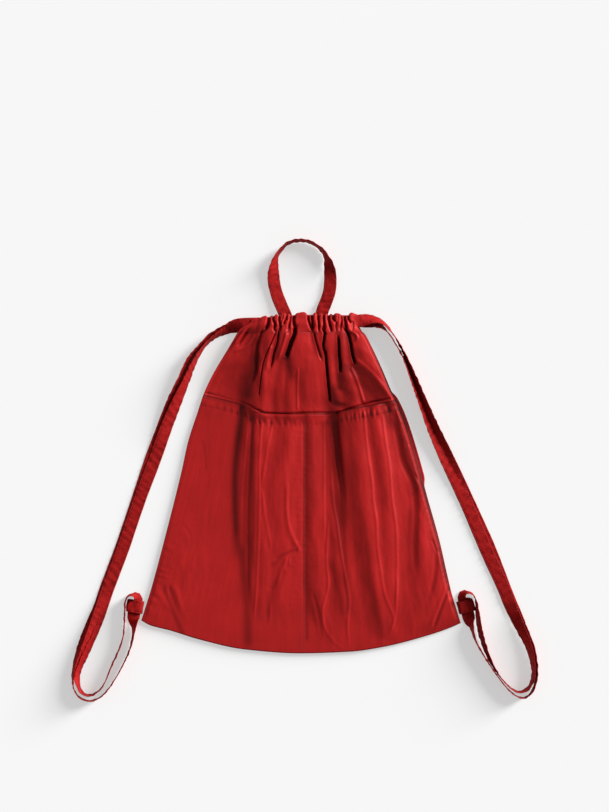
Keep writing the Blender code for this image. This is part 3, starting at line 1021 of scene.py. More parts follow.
@dataclass(frozen=True)
class Stitch:
    """One visible stitch: a short rounded bead of thread.

    Lengths are in metres. bead holds its rings as (along, width, lift), in shares of half its
    length and thickness.
    """

    pitch: float = 2.9 * MM
    length: float = 2.1 * MM
    thick: float = 0.36 * MM
    bead: Points = ((-1, 0.25, -0.5), (-0.72, 0.85, 0.05), (0.72, 0.85, 0.05), (1, 0.25, -0.5))

    def extend(self, piece: Piece, line: np.ndarray, up: np.ndarray) -> None:
        """Adds a row of beads to a piece.

        Args:
            piece: the piece.
            line: points along the seam, on the surface.
            up: the surface's normal at each of them.
        """
        distance = lengths_along(line)
        sides = 6
        turns = np.linspace(0, 2 * math.pi, sides, endpoint=False)
        caps = np.array([[3, 2, 1, 0], [5, 4, 3, 0], [0, 1, 2, 3], [0, 3, 4, 5]])
        caps[2:] += (len(self.bead) - 1) * sides
        faces = np.vstack([grid_faces(len(self.bead), sides, around=True), caps])
        for middle in (np.arange(int(distance[-1] / self.pitch)) + 0.5) * self.pitch:
            at, end = (self._read(line, distance, s) for s in (middle, middle + self.length / 2))
            along = unit(end - at)
            aside = unit(np.cross(self._read(up, distance, middle), along))
            normal = np.cross(along, aside)
            round_it = np.cos(turns)[:, None] * aside + np.sin(turns)[:, None] * normal
            forward = along * self.length / 2
            rings = [at + forward * reach + (round_it * wide + normal * lift) * self.thick / 2
                     for reach, wide, lift in self.bead]
            piece.add(np.vstack(rings), np.zeros((len(self.bead) * sides, 3)), faces)

    @staticmethod
    def _read(line: np.ndarray, distance: np.ndarray, at: float) -> np.ndarray:
        """The point, or the normal, at a distance along the line."""
        return np.array([np.interp(at, distance, line[:, k]) for k in range(3)])

    def level_row(self, piece: Piece, line: np.ndarray) -> None:
        """Adds a row of beads to a piece, along a line on the top of a sheet that lies flat."""
        self.extend(piece, line + (0, 0, LAYERS.cloth / 2), np.tile((0.0, 0.0, 1.0), (len(line), 1)))


@dataclass(frozen=True)
class TapeForm:
    """A flat tape of folded cloth, stitched along both edges.

    Lengths are in metres. narrowing is a share of the width. The last two fields give the painted shade
    along the stitches and how dark the painted shade in the wrinkles' valleys is.
    """

    width: float = 15 * MM
    thick: float = 1.0 * MM
    stitch_inset: float = 1.7 * MM
    wrinkle: float = 0.42 * MM
    narrowing: float = 0.012
    wrinkle_start: float = 20 * MM
    seam_shade: SeamLine = SeamLine(0.3, 0.0, 0.7 * MM)
    valley_shade: float = 0.28

    def section(self) -> np.ndarray:
        """Points round the tape's section as (across, up) in metres."""
        half = self.width / 2
        stitches = self.stitch_inset - half
        flank = [
            (-half, 0.0), (0.25 * MM - half, 0.62), (0.9 * MM - half, 0.95), (stitches - 0.35 * MM, 0.92),
            (stitches, 0.6), (stitches + 0.45 * MM, 0.9), (-half * 0.45, 0.86), (0.0, 0.84),
        ]
        upper = flank + [(-across, up) for across, up in flank[-2:0:-1]]
        lower = [(-across, -up) for across, up in upper]
        ring = upper + [(half, 0.0)] + lower[1:]
        return np.array([(across, up * self.thick / 2) for across, up in ring])

    def sweep(self, name: str, middles: np.ndarray, wides: np.ndarray, seed: int) -> Piece:
        """Carries the section along a line.

        Args:
            name: the piece's name.
            middles: points down the tape's middle.
            wides: which way its width lies at each of them.
            seed: which small unevenness it gets.

        Returns:
            The piece, ready to be finished.
        """
        section = self.section()
        distance = lengths_along(middles)
        phases = np.random.default_rng(seed).uniform(0, 2 * math.pi, 4)
        drawn = 1 + np.sin(distance * 210 + phases[0]) * np.sin(distance * 67 + phases[1])
        narrow = 1 - self.narrowing * drawn
        buckle = self._buckle(distance[:, None], section[None, :, 0] / self.width, phases)
        rings = (middles[:, None, :] + wides[:, None, :] * section[None, :, :1] * narrow[:, None, None]
                 + self._ups(middles, wides)[:, None, :] * (section[None, :, 1:] + buckle[:, :, None]))
        seam = np.abs(section[None, :, 0]) - self.width / 2 + self.stitch_inset
        # Painted shade along the stitch lines and in the wrinkles' valleys.
        dark = self.seam_shade.at(seam) + self.valley_shade * np.clip(-buckle / self.wrinkle, 0, 1)
        cloth = np.stack(np.broadcast_arrays(section[None, :, 0], distance[:, None], dark), axis=2)
        stations, around = len(middles), len(section)
        faces = np.vstack([grid_faces(stations, around, around=True), self._caps(stations, around)])
        piece = Piece(name)
        piece.add(rings.reshape(-1, 3), cloth.reshape(-1, 3), faces)
        return piece

    def _buckle(self, s: np.ndarray, side: np.ndarray, phases: np.ndarray) -> np.ndarray:
        """The small wrinkles, in metres, at distances s and from side to side (-0.5 to 0.5)."""
        fine = np.sin(s * 760 + phases[2] + side * 5 + 2 * np.sin(s * 90)) * np.sin(s * 61 + phases[3])
        coarse = np.sin(s * 410 - side * 7 + phases[1]) * np.sin(s * 37 + side * 4 + phases[0])
        return self.wrinkle * (fine + 0.7 * coarse) * np.clip(s / self.wrinkle_start, 0, 1)

    @staticmethod
    def _caps(stations: int, around: int) -> np.ndarray:
        """The faces that close the tape's two ends, between its upper and lower side."""
        caps = []
        for i in range(1, around // 2 - 1):
            start = (i, i + 1, around - i - 1, around - i)
            caps += [start[::-1], tuple(k + (stations - 1) * around for k in start)]
        return np.array(caps)

    @staticmethod
    def _ups(middles: np.ndarray, wides: np.ndarray) -> np.ndarray:
        """The tape's normal at each point of its middle."""
        return unit(np.cross(unit(np.gradient(middles, axis=0)), wides))

    def make(self, name: str, node: str, middles: np.ndarray, wides: np.ndarray, seed: int,
             wardrobe: Wardrobe) -> tuple[bpy.types.Object, bpy.types.Object]:
        """Makes a tape and the stitches along both its edges, on both faces.

        Args:
            name: what the pieces' names start with.
            node: the solid that the tape stands for.
            middles: points down the tape's middle.
            wides: which way its width lies at each of them.
            seed: which small unevenness it gets.
            wardrobe: the materials.

        Returns:
            The tape and its stitches.
        """
        tape = self.sweep(name + "_tape", middles, wides, seed)
        made = tape.finish(wardrobe.material(Finish.TAPE), Slot.TAPE, [node])
        ups = self._ups(middles, wides)
        thread = Piece(name + "_stitches")
        for side in (-1, 1):
            for face in (-1, 1):
                off = wides * side * (self.width / 2 - self.stitch_inset) + ups * face * self.thick * 0.36
                Stitch().extend(thread, middles + off, ups * face)
        return made, thread.finish(wardrobe.material(Finish.THREAD), Slot.TAPE)


class TapeRoute:
    """A tape's middle line through given points (x, y, height, tilt in degrees), in millimetres."""

    STEPS = 24

    def __init__(self, knots: Points) -> None:
        """Keeps the route's points.

        Args:
            knots: the points; a tilt of 0 lies flat.
        """
        self.knots = np.array(knots, float)

    def stations(self, count: int) -> tuple[np.ndarray, np.ndarray]:
        """Reads the route at evenly spread places.

        Args:
            count: how many places.

        Returns:
            The middle points and which way the tape's width lies there.
        """
        fine = smooth_line(self.knots[:, :2] * MM, self.STEPS)
        distance = lengths_along(fine)
        reached = distance[::self.STEPS]
        height = SmoothCurve(list(zip(reached, self.knots[:, 2])))
        tilt = SmoothCurve(list(zip(reached, self.knots[:, 3])))
        at = np.linspace(0, distance[-1], count)
        flat = [np.interp(at, distance, fine[:, k]) for k in (0, 1)]
        middles = np.stack([*flat, height(at)], axis=1)
        along = unit(np.gradient(middles, axis=0))
        level = unit(np.cross((0, 0, 1), along))
        upright = np.cross(along, level)
        angle = np.radians(tilt(at) / MM)[:, None]
        return middles, np.cos(angle) * level + np.sin(angle) * upright


@dataclass
class Drawstring:
    """One long tape, from the middle of the front casing through a corner tab to the rear casing.

    name is the solid that it stands for, length its real length and spacing the distance from ring
    to ring, both in metres.
    """

    name: str
    knots: Points
    length: float
    seed: int
    form: TapeForm = TapeForm()
    spacing: float = 2.4 * MM

    def build(self, wardrobe: Wardrobe) -> None:
        """Makes the tape and its stitches.

        Args:
            wardrobe: the materials.
        """
        count = int(self.length / self.spacing)
        middles, wides = TapeRoute(self.knots).stations(count)
        tape, sewn = self.form.make(self.name, self.name, middles, wides, self.seed, wardrobe)
        LOG.info("%s is %.3f m long", self.name, lengths_along(middles)[-1])


@dataclass
class HandleLoop:
    """The carry loop, whose ends are sewn to the rear casing."""

    knots: Points = (
        (-17.5, 136, 5.1, 0), (-19, 151, 5.1, 0), (-24.5, 164.5, 4.6, 5), (-30, 178.5, 3.9, 8),
        (-33.5, 194, 4.6, 14), (-33.5, 209, 6.2, 40), (-31, 221, 7.7, 70), (-25, 230.5, 7.9, 78),
        (-17.5, 237.5, 7.9, 80), (-10, 240.3, 7.9, 80), (-2.5, 241, 7.9, 80), (5.5, 240.2, 7.9, 80),
        (14, 236.5, 7.9, 80), (22.5, 230, 7.8, 76), (28.5, 220.5, 7.3, 64), (31.5, 209, 5.6, 30),
        (32.5, 196.5, 4.2, 8), (31.5, 182.5, 4.1, 4), (28, 171, 4.4, 8), (23.5, 159.5, 5.0, 0),
        (21.5, 151, 5.1, 0), (20.5, 136, 5.1, 0),
    )
    form: TapeForm = TapeForm()
    stations: int = 150
    seed: int = 3

    def build(self, wardrobe: Wardrobe) -> None:
        """Makes the loop and its stitches.

        Args:
            wardrobe: the materials.
        """
        middles, wides = TapeRoute(self.knots).stations(self.stations)
        self.form.make("handle", "handle_loop", middles, wides, self.seed, wardrobe)


@dataclass
class CornerTab:
    """A short tape folded into a loop, sewn into the side seam near the bottom corner.

    name is the solid that it stands for. place is where it leaves the seam, as (x, y) in
    millimetres. reach and top are in metres.
    """

    name: str
    place: tuple[float, float]
    outward: tuple[float, float]
    reach: float = 19.5 * MM
    top: float = 5.8 * MM
    form: TapeForm = TapeForm()
    seed: int = 4

    def build(self, wardrobe: Wardrobe) -> None:
        """Makes the tab and its stitches.

        Args:
            wardrobe: the materials.
        """
        line = self._profile()
        out = unit(np.array(self.outward))
        base = np.array(self.place) * MM
        middles = np.column_stack([base + out * line[:, :1], line[:, 1]])
        wides = np.tile((-out[1], out[0], 0.0), (len(middles), 1))
        self.form.make(self.name, self.name, middles, wides, self.seed, wardrobe)

    def _profile(self) -> np.ndarray:
        """The loop seen from its side, as (outward, up): out along the floor, round and back above."""
        low = LAYERS.back_floor + 0.1 * MM
        radius = (self.top - low) / 2
        end = self.reach - radius
        start = 0.5 * MM
        lower = [(start, low), (6 * MM, low), (end - 2 * MM, low)]
        turn = [(end + radius * math.cos(t), low + radius + radius * math.sin(t))
                for t in np.radians(np.linspace(-80, 80, 9))]
        upper = [(end - 1.5 * MM, self.top), (8 * MM, self.top + 0.3 * MM), (3 * MM, self.top - 0.3 * MM)]
        return smooth_line(np.array([*lower, *turn, *upper, (start, low + 2 * LAYERS.step)]), 4)


LEFT_ROUTE: Points = (
    (-7, 144, 13.5, 0), (-66, 143.3, 13.3, 0), (-78, 142.5, 11, -30), (-90.5, 138.5, 9, -62),
    (-107, 129.5, 7.8, -66), (-118, 118, 7.4, -66), (-131.6, 101.8, 7.2, -64), (-141.6, 78.4, 6.6, -55),
    (-151.5, 55, 4.8, -35), (-164.4, 19.9, 2.4, -14), (-177.5, -15.2, 0.8, 0), (-193, -62, 0.8, 0),
    (-212.9, -120.5, 0.8, 0), (-230.5, -167.3, 0.8, 0), (-236.3, -184.9, 1.6, 6),
    (-246.9, -208.3, 3.6, 22), (-259.5, -237.5, 6.2, 46), (-267.5, -266.8, 8, 72), (-267, -281, 8, 82),
    (-260.5, -291.5, 8, 85), (-248, -296, 8, 88), (-232.5, -289, 8, 90), (-203, -240, 8, 96),
    (-196.8, -212, 7.4, 110), (-197.2, -196, 2.7, 178), (-194.3, -180.5, 2.8, 182),
    (-194.3, -175.5, 5.6, 226), (-197, -172.5, 8, 262), (-203, -173.3, 8, 266), (-206.5, -179.5, 8, 262),
    (-207.5, -195.5, 8, 262), (-209.8, -223.5, 8, 264), (-223, -256, 8, 264), (-235, -281.5, 8, 268),
    (-247.5, -289.5, 8, 268), (-257.5, -286, 8, 266), (-263, -266.8, 8, 246), (-253.3, -237.5, 8, 222),
    (-242, -208.3, 5.6, 202), (-234, -184.9, 3.5, 187), (-228.2, -167.3, 1.9, 180),
    (-210.6, -120.5, 1.9, 180), (-190.7, -62, 1.9, 180), (-173, -15.2, 1.9, 180),
    (-160.4, 19.9, 4.2, 198), (-145.7, 55, 6.8, 222), (-135.2, 78.4, 7.9, 240),
    (-124.8, 101.8, 8.2, 252), (-114.5, 118, 8.2, 258), (-105, 127, 7.9, 256), (-89, 136.5, 6.2, 232),
    (-73, 141.5, 3.4, 196), (-7, 144, 2.3, 180),
)
RIGHT_ROUTE: Points = (
    (6, 144, 13.5, 0), (66, 147, 13.4, 0), (79, 149.3, 11, -42), (93, 145.8, 9, -70),
    (104.5, 133.5, 8.1, -84), (113.3, 119.3, 8.1, -94), (122, 101.8, 7.9, -100),
    (132.2, 78.4, 7.7, -106), (141.5, 55, 7.1, -114), (155.8, 19.9, 5.6, -132),
    (171.4, -15.2, 3.1, -158), (193, -62, 1, -177), (219.4, -120.5, 0.8, -180),
    (237.3, -167.3, 1.4, -176), (244.5, -184.9, 2.4, -168), (255.2, -208.3, 5.5, -142),
    (268, -237.5, 7.4, -118), (272.6, -266.8, 8, -98), (267.5, -285.5, 8, -90), (258, -292.5, 8, -88),
    (244, -286.5, 8, -88), (203, -228, 8, -86), (197.6, -211, 7.6, -76), (193.6, -196, 2.7, -2),
    (188.9, -178, 2.7, 0), (188.4, -173, 5.6, -46), (191, -169.8, 8, -82), (197, -170.3, 8, -86),
    (201.6, -176.5, 8, -90), (204.3, -195.5, 8, -106), (207.8, -217, 8, -110), (219, -249, 8, -102),
    (235.3, -273.5, 8, -90), (251.5, -285.5, 8, -88), (263, -281.5, 8, -84), (269.2, -266.8, 8, -80),
    (265.4, -237.5, 8, -64), (253, -208.3, 7.2, -40), (242.8, -184.9, 4.4, -14), (236, -167.3, 3.2, -5),
    (214.8, -120.5, 1.9, 0), (189.8, -62, 2.1, 3), (167.6, -15.2, 3.6, 20), (151.2, 19.9, 5.6, 44),
    (137, 55, 7.1, 64), (127.8, 78.4, 7.7, 73), (118.8, 101.8, 7.9, 80), (109.3, 119.3, 8.1, 86),
    (100, 133.3, 8, 88), (88.3, 143, 6.4, 52), (73.5, 146.7, 4, 14), (6, 144, 2.3, 0),
)

FRONT_ROWS = (338, 346, 354, 362, 370, 378, 386, 394, 404)
FLANK_ROWS = (333, *FRONT_ROWS[1:])
POCKET_ROWS = tuple(range(420, 641, 20))
HEM_ROWS = (405, *POCKET_ROWS)
flank_fold, front_fold, pocket_fold, hem_fold = (
    partial(FoldLine, rows) for rows in (FLANK_ROWS, FRONT_ROWS, POCKET_ROWS, HEM_ROWS))

FRONT_FOLDS: tuple[FoldLine, ...] = (
    flank_fold((243, 242, 233, 230, 224, 218, 215, 212, 212), (19, 19, 18, 10, 10, 12, 9, 6, 7)),
    flank_fold((250, 248, 248, 245, 236, 233, 228, 231, 232), (-5, -4, -6, -4, -8, -8, -10, -4, -6)),
    flank_fold((261, 258, 257, 257, 256, 252, 249, 246, 243), (-36, -36, -40, -44, -49, -46, -41, -38, -34)),
    front_fold((263, 262, 262.5, 260.2, 260, 256.5, 256, 256, 254), (-22, -18, -7, -28, -19, -22, -18,
        -19, -29)),
    front_fold((269, 268.8, 266, 263, 262.5, 260, 260, 259.5, 259), (-9, -21, -31, -27, -19, -38, -36,
        -24, -19)),
    front_fold((275, 272, 269.5, 268, 266, 267, 267, 267, 266), (12.5, 11, 16, 15, -1, 4, 1, 1, 1)),
    front_fold((278.5, 278, 275, 272, 270, 270, 270, 270, 270), (-32.5, -35.5, -33.5, -19, -9, 3, 1, -1,
        -1)),
    front_fold((284, 282, 280.5, 278, 275, 273, 272, 272.5, 272), (-2.5, 5.5, 7.5, 9.5, 5.5, 1, 0, -7, -4)),
    front_fold((285, 283.5, 282.3, 281.3, 280, 278.5, 277, 275.5, 276), (2.5, 6.5, 3.5, -20.5, -20.5,
        -23.5, -22.5, -25.5, -24.5)),
    front_fold((288, 285.5, 284.2, 284, 284, 284, 283.5, 281.5, 281), (7.5, 3.5, -2.5, -12.5, -10.5,
        -10.5, -12.5, -14.5, -14.5)),
    front_fold((293, 290, 287, 288, 290, 288.5, 287, 287, 287), (-20.5, -22.5, -26.5, -30.5, -32.5, -26.5,
        -25.5, -23.5, -26.5)),
    front_fold((296.5, 295, 293.5, 298, 299, 293, 293.5, 293.5, 295), (0.5, -3.5, -3.5, -7.5, -14.5,
        -13.5, -3.5, -0.5, -0.5)),
    front_fold((303, 303, 303, 305, 305, 300, 301, 302, 303), (1.5, -1.5, 0.5, -12.5, -16.5, -23.5, -22.5,
        -21.5, -17.5)),
    front_fold((309, 310.5, 311, 311, 311, 311, 311, 312, 312), (9.5, 7.5, 5.5, -4.5, -6.5, -7.5, -7.5,
        -8.5, -8.5)),
    front_fold((314, 316, 317.5, 314.5, 314.5, 314.5, 315, 316, 316), (-32.5, -20.5, -8.5, -3.5, -6.5,
        -7.5, -6.5, -5.5, -5.5)),
    front_fold((318, 319.8, 319.5, 317.5, 318, 318, 319, 320, 320), (-4.5, -2.5, -1.5, 0.5, -0.5, 0.5,
        -0.5, -1.5, -1.5)),
    front_fold((320, 321.5, 322.5, 323.5, 324, 323.5, 323.5, 324, 325), (-16.5, -12.5, -14.5, -2.5, -4.5,
        -6.5, -6.5, -6.5, -8.5)),
    front_fold((322, 323.2, 325.5, 326, 327, 328, 329, 330, 331), (-20.5, -26.5, -28.5, -32.5, -36.5,
        -39.5, -42.5, -40.5, -40.5)),
    front_fold((332, 331, 331, 332, 332.5, 333.5, 335, 339.5, 340), (3.5, 1.5, -0.5, -1.5, -3.5, -10.5,
        -12.5, -3.5, -26.5)),
    front_fold((338.5, 338.5, 338.7, 339.5, 339.7, 340, 342, 348, 350), (-17.5, -22.5, -26.5, -32.5,
        -36.5, -42.5, -30.5, -31.5, -34.5)),
    front_fold((344, 344.5, 345.5, 346.5, 349.5, 353, 356, 358.5, 360), (4.5, 5.5, 1.5, -5.5, -3.5, 1, 1,
        -2, -4)),
    front_fold((347.5, 350, 351.5, 354.5, 359.5, 364, 362, 364, 366), (-16.5, -22.5, -26.5, -39, -41, -31,
        -22, -14, -24)),
    front_fold((357, 356, 359, 362, 367, 371.5, 377, 383, 386), (-18, -17, -28, -26, -35, -36, -36, -36,
        -36)),
    front_fold((362, 363, 372, 376, 380, 383, 387, 392, 394), (-4, -4, 0, -2, -7, -4, -6, -11, -11)),
)

POCKET_FOLDS: tuple[FoldLine, ...] = (
    FoldLine((405, 655), (200, 170), (4, 4)),
    FoldLine((405, 655), (213, 213), (4, 4)),
    FoldLine((420, 440, 460, 480, 500, 520, 540, 560, 580, 640), (223, 222, 223, 225, 224, 222, 221, 222,
        224, 226), (12, 2, 0, -6, -6, -6, -2, 6, 2, 2)),
    FoldLine((420, 440, 460, 480, 500, 520, 540, 560, 580, 640), (229, 225, 229.5, 230, 229, 229, 229,
        230, 231, 232), (10, 6, -4, -8, -8, 6, 6, 2, 4, -2)),
    FoldLine((420, 440, 460, 480, 500, 520, 540, 560, 580, 600, 640), (237.5, 235, 233.2, 233.6, 234.5,
        235, 236, 237, 237, 238, 238), (-57, -52, -50, -40, -35, -30, -22, -10, -2, 0, 0)),
    pocket_fold((248, 247, 244, 242.5, 241, 240.5, 240.5, 241, 241.5, 241, 240.5, 241), (-20, -21, -14,
        -15, -14, -14, -20, -25, -25, -19, -4, 0)),
    pocket_fold((253, 252, 251, 249, 248, 248, 247.5, 247.5, 248, 248, 247, 248), (-31, -35, -36, -36,
        -32, -31, -31, -29, -31, -34, -32, -28)),
    pocket_fold((260, 260, 258.5, 258.5, 259, 258, 257.5, 256.5, 256, 256, 252.5, 252.5), (-19, -8, -7.5,
        -7.5, -8.5, -8.5, -11, -9, -7, -9, -13, -13)),
    pocket_fold((263, 264, 261, 260, 261, 261, 261.5, 261, 260.5, 260.5, 257, 257), (-11, -8, -7.5, -7.5,
        -8.5, -8.5, -11, -11, -13, -13, -15, -17)),
    pocket_fold((266, 268, 263, 262, 264, 264, 268, 269, 268, 265, 264, 264), (-9, -2, -7.5, -7.5, -4.5,
        -2.5, -1, -3, -3, -5, -3, -3)),
    pocket_fold((284, 283, 280, 271, 270, 274, 276, 281, 276.5, 272, 268.5, 270), (-19, -22, -19.5, -17.5,
        -14.5, -14.5, -9, -13, -17, -17, -9, -5)),
    pocket_fold((298, 296, 292, 288, 292, 292, 292, 287.5, 287, 280.5, 276, 276), (-11, 0, 0.5, -1.5,
        -2.5, -0.5, -3, -5, -1, -3, -5, -9)),
    FoldLine((405, 655), (301, 301), (-9, -5)),
    pocket_fold((309, 309, 309, 308, 309, 308, 310, 310, 309, 312, 316, 318), (-23, -22, -24, -22, -22,
        -24, -21, -21, -23, -25, -23, -15)),
    pocket_fold((317, 317, 316, 316, 316, 316, 317, 319, 320, 323, 324, 326), (-7, -4, -6, -6, -12, -8,
        -9, -9, -9, -2, -4, -10)),
    pocket_fold((324, 324, 324, 324, 324, 324, 324.5, 325, 328, 327.5, 328, 330), (-7, -4, 0, -2, 0, -2,
        -3, -5, -1, -6, -8, -10)),
    hem_fold((328.5, 329, 329, 329, 328, 328, 330, 332.5, 333, 335.5, 336.5, 342, 336), (-25, -23, -19,
        -17, -15, -15, -17, -25, -23, -25, -20, -12, -4)),
    hem_fold((330, 330.5, 330.5, 331, 332, 333, 336, 340, 341, 346, 348, 348, 348), (-35, -35, -25, -23,
        -13, -11, -5, -9, -9, -10.5, -2.5, -0.5, -2.5)),
    hem_fold((334.5, 334.5, 336, 338.5, 340.5, 342.5, 344, 344.5, 345, 351, 352, 352, 352), (-61, -59,
        -54, -52, -47, -43, -37, -23, -15, -10.5, -6.5, -6.5, -6.5)),
    hem_fold((346, 346, 347, 348, 348, 347.5, 348, 348, 350, 352.5, 356, 362, 364), (-26.5, -26.5, -24.5,
        -26.5, -28.5, -26.5, -22.5, -14.5, -8.5, -6.5, -6.5, -8.5, -4.5)),
    pocket_fold((352, 353, 354, 354, 354, 357, 359, 363, 367, 371, 376, 379), (-26.5, -24.5, -26.5, -28.5,
        -30.5, -30.5, -30.5, -26.5, -28.5, -22.5, -20.5, -16.5)),
    pocket_fold((364, 366, 368, 371, 372.5, 376, 377, 380, 380.5, 384, 386, 385), (-2.5, -2.5, 5.5, 1.5,
        3.5, 1.5, 1.5, 3.5, 1.5, -2.5, -4.5, -6.5)),
    hem_fold((370, 370, 374, 377.5, 380.5, 384, 383.5, 384.5, 385, 386, 388, 388, 388), (-28.5, -28.5,
        -26.5, -24.5, -24.5, -22.5, -14.5, -10.5, -10.5, -8.5, -8.5, -4.5, -8.5)),
    pocket_fold((380, 384.5, 388.5, 389, 392, 395.5, 396.5, 396.5, 396, 396, 393, 394), (5.5, 7.5, 9.5,
        1.5, 7.5, 5.5, 5.5, 3.5, 5.5, 3.5, 3.5, -6.5)),
    pocket_fold((386, 391, 396, 403, 406, 405, 404, 404, 404, 404, 405, 405), (-10.5, -2.5, -2.5, -4.5,
        -4.5, -2.5, -2.5, -4.5, -4.5, -6.5, -12.5, -6.5)),
    pocket_fold((394.5, 398, 402, 412, 415.5, 414, 415, 415, 415, 412, 412, 415), (-36.5, -30.5, -28.5,
        -34.5, -32.5, -26.5, -24.5, -20.5, -18.5, -10.5, -10.5, -6.5)),
    pocket_fold((403, 408, 413, 420, 424, 426, 427, 428, 427, 424, 424), (-6.5, -12.5, -18.5, -6.5, -4.5,
        1.5, 1.5, -2.5, -6.5, -10.5, -8.5)),
    pocket_fold((410, 416, 421, 427, 430, 433, 432.5, 436, 435, 431, 434), (-6.5, -6.5, -6.5, -6.5, -4.5,
        -2.5, -14.5, -18.5, -18.5, -6.5, -4.5)),
    pocket_fold((418, 424, 430, 435, 438, 440, 439, 441.5, 444, 440, 442), (-6.5, -6.5, -6.5, -6.5, -4.5,
        -2.5, -2.5, -0.5, 1.5, -4.5, -4.5)),
)

RIDGE, PLEAT, CHANNEL = Form

# Painted shade along the front's deepest folds.
FRONT_FOLD_SHADES: tuple[PaintedFoldShade, ...] = (
    PaintedFoldShade(((257, 352), (255, 366), (252, 382), (248, 398)), 5, 6, 0.40, (12, 6)),
    PaintedFoldShade(((279, 333), (277.5, 345), (274, 358), (271, 368)), 1.5, 1.5, 0.3, (2, 6)),
    PaintedFoldShade(((338.8, 335), (338.6, 344), (338.8, 354), (339.8, 363), (340, 374), (340, 390)), 3.5, 5,
        0.5, (8, 6)),
    PaintedFoldShade(((346, 333), (349, 345), (351, 360)), 2.5, 2.5, 0.5, (4, 4)),
    PaintedFoldShade(((351, 365), (360, 379), (371, 392), (378, 402)), 6, 3, 0.3, (6, 3)),
    PaintedFoldShade(((345, 364), (350, 385), (354, 402)), 4, 3, 0.3, (6, 3)),
    PaintedFoldShade(((332, 386), (334, 397), (337, 409)), 4, 7, 0.5, (8, 2)),
    PaintedFoldShade(((245, 376), (246, 402)), 5, 5, 0.3, (8, 3)),
    PaintedFoldShade(((293, 338), (289, 350), (287, 360)), 4, 3, 0.7, (4, 4)),
    PaintedFoldShade(((257.5, 338), (259, 350), (258.5, 362), (257.5, 374)), 3, 2.5, 0.35, (6, 6)),
    PaintedFoldShade(((287, 352), (288.5, 362), (292, 380)), 2.5, 3, 0.35, (4, 8)),
    PaintedFoldShade(((362, 328), (372, 350), (383, 378), (392, 398)), 4, 4, 0.3, (6, 6)),
    PaintedFoldShade(((313, 340), (317, 350), (322, 362)), 2, 2, 0.3, (4, 4)),
    PaintedFoldShade(((345, 375), (346, 404)), 5, 4, 0.1, (6, 6)),
)
# Painted shade along the pocket's deepest folds and its seams.
POCKET_FOLD_SHADES: tuple[PaintedFoldShade, ...] = (
    PaintedFoldShade(((242.5, 405), (241, 420), (238, 440), (236, 460), (235, 480), (235.5, 510), (237, 545)),
        4.2, 4.5, 0.85, (6, 40)),
    PaintedFoldShade(((241, 545), (244.5, 580), (247.5, 615), (248.5, 646)), 4.6, 4.2, 0.5, (20, 12)),
    PaintedFoldShade(((252, 405), (252, 425), (253, 460), (253.5, 500), (252, 560)), 2.5, 2.5, 0.35, (4, 40)),
    PaintedFoldShade(((292, 549), (282, 556), (272, 566)), 3, 3, 0.25, (2, 4)),
    PaintedFoldShade(((310, 425), (311, 460), (313, 520)), 4, 4, 0.22, (6, 40)),
    PaintedFoldShade(((332, 490), (339, 530), (344.5, 560), (348.5, 612)), 3, 3, 0.35, (20, 10)),
    PaintedFoldShade(((333, 405), (333, 420), (335, 440), (338, 470)), 4, 4, 0.3, (4, 30)),
    PaintedFoldShade(((347, 405), (348, 430), (350, 460), (352, 500)), 4, 5, 0.25, (4, 40)),
    PaintedFoldShade(((361, 412), (364, 440), (368, 480), (374, 520)), 3, 3, 0.12, (6, 30)),
    PaintedFoldShade(((393, 400), (405, 440), (415, 470), (425, 500), (435, 540), (447, 585)), 4.5, 4.5, 0.4,
        (8, 20)),
    PaintedFoldShade(((409, 508), (410, 575)), 3, 3, 0.25, (10, 16)),
    PaintedFoldShade(((306, 412), (306.5, 520), (306.8, 560), (306.5, 640)), 1.4, 2.6, 0.42, (6, 6)),
    PaintedFoldShade(((331, 560), (338, 590), (344, 614)), 3, 3, 0.28, (10, 6)),
    PaintedFoldShade(((366, 540), (371, 580), (377, 612), (384, 640)), 3.5, 3.5, 0.22, (14, 3)),
    PaintedFoldShade(((316, 560), (317, 600), (321, 640)), 3, 3, 0.14, (14, 10)),
    PaintedFoldShade(((401, 436), (404, 448), (408, 462)), 3.5, 3.5, 0.25, (6, 6)),
    PaintedFoldShade(((409, 462), (414, 477), (418, 490)), 4, 3.5, 0.3, (6, 5)),
    PaintedFoldShade(((386, 402), (389, 412), (393, 428)), 7, 4, 0.4, (2, 14)),
    PaintedFoldShade(((203, 440), (205.5, 452), (206.5, 470)), 1.3, 1.3, 0.25, (4, 6)),
    PaintedFoldShade(((208.5, 408), (209.5, 460), (210, 530)), 2.5, 2, 0.1, (10, 30)),
    PaintedFoldShade(((222, 408), (222, 440), (221, 480)), 3, 2, 0.08, (10, 30)),
    PaintedFoldShade(((320, 590), (322, 620)), 3, 3, 0.2, (10, 10)),
    PaintedFoldShade(((165, 585), (171, 604), (183, 634)), 2.5, 2.5, 0.45, (8, 4)),
    PaintedFoldShade(((450, 586), (442, 605), (433, 630)), 1.8, 1.8, 0.35, (6, 5)),
)
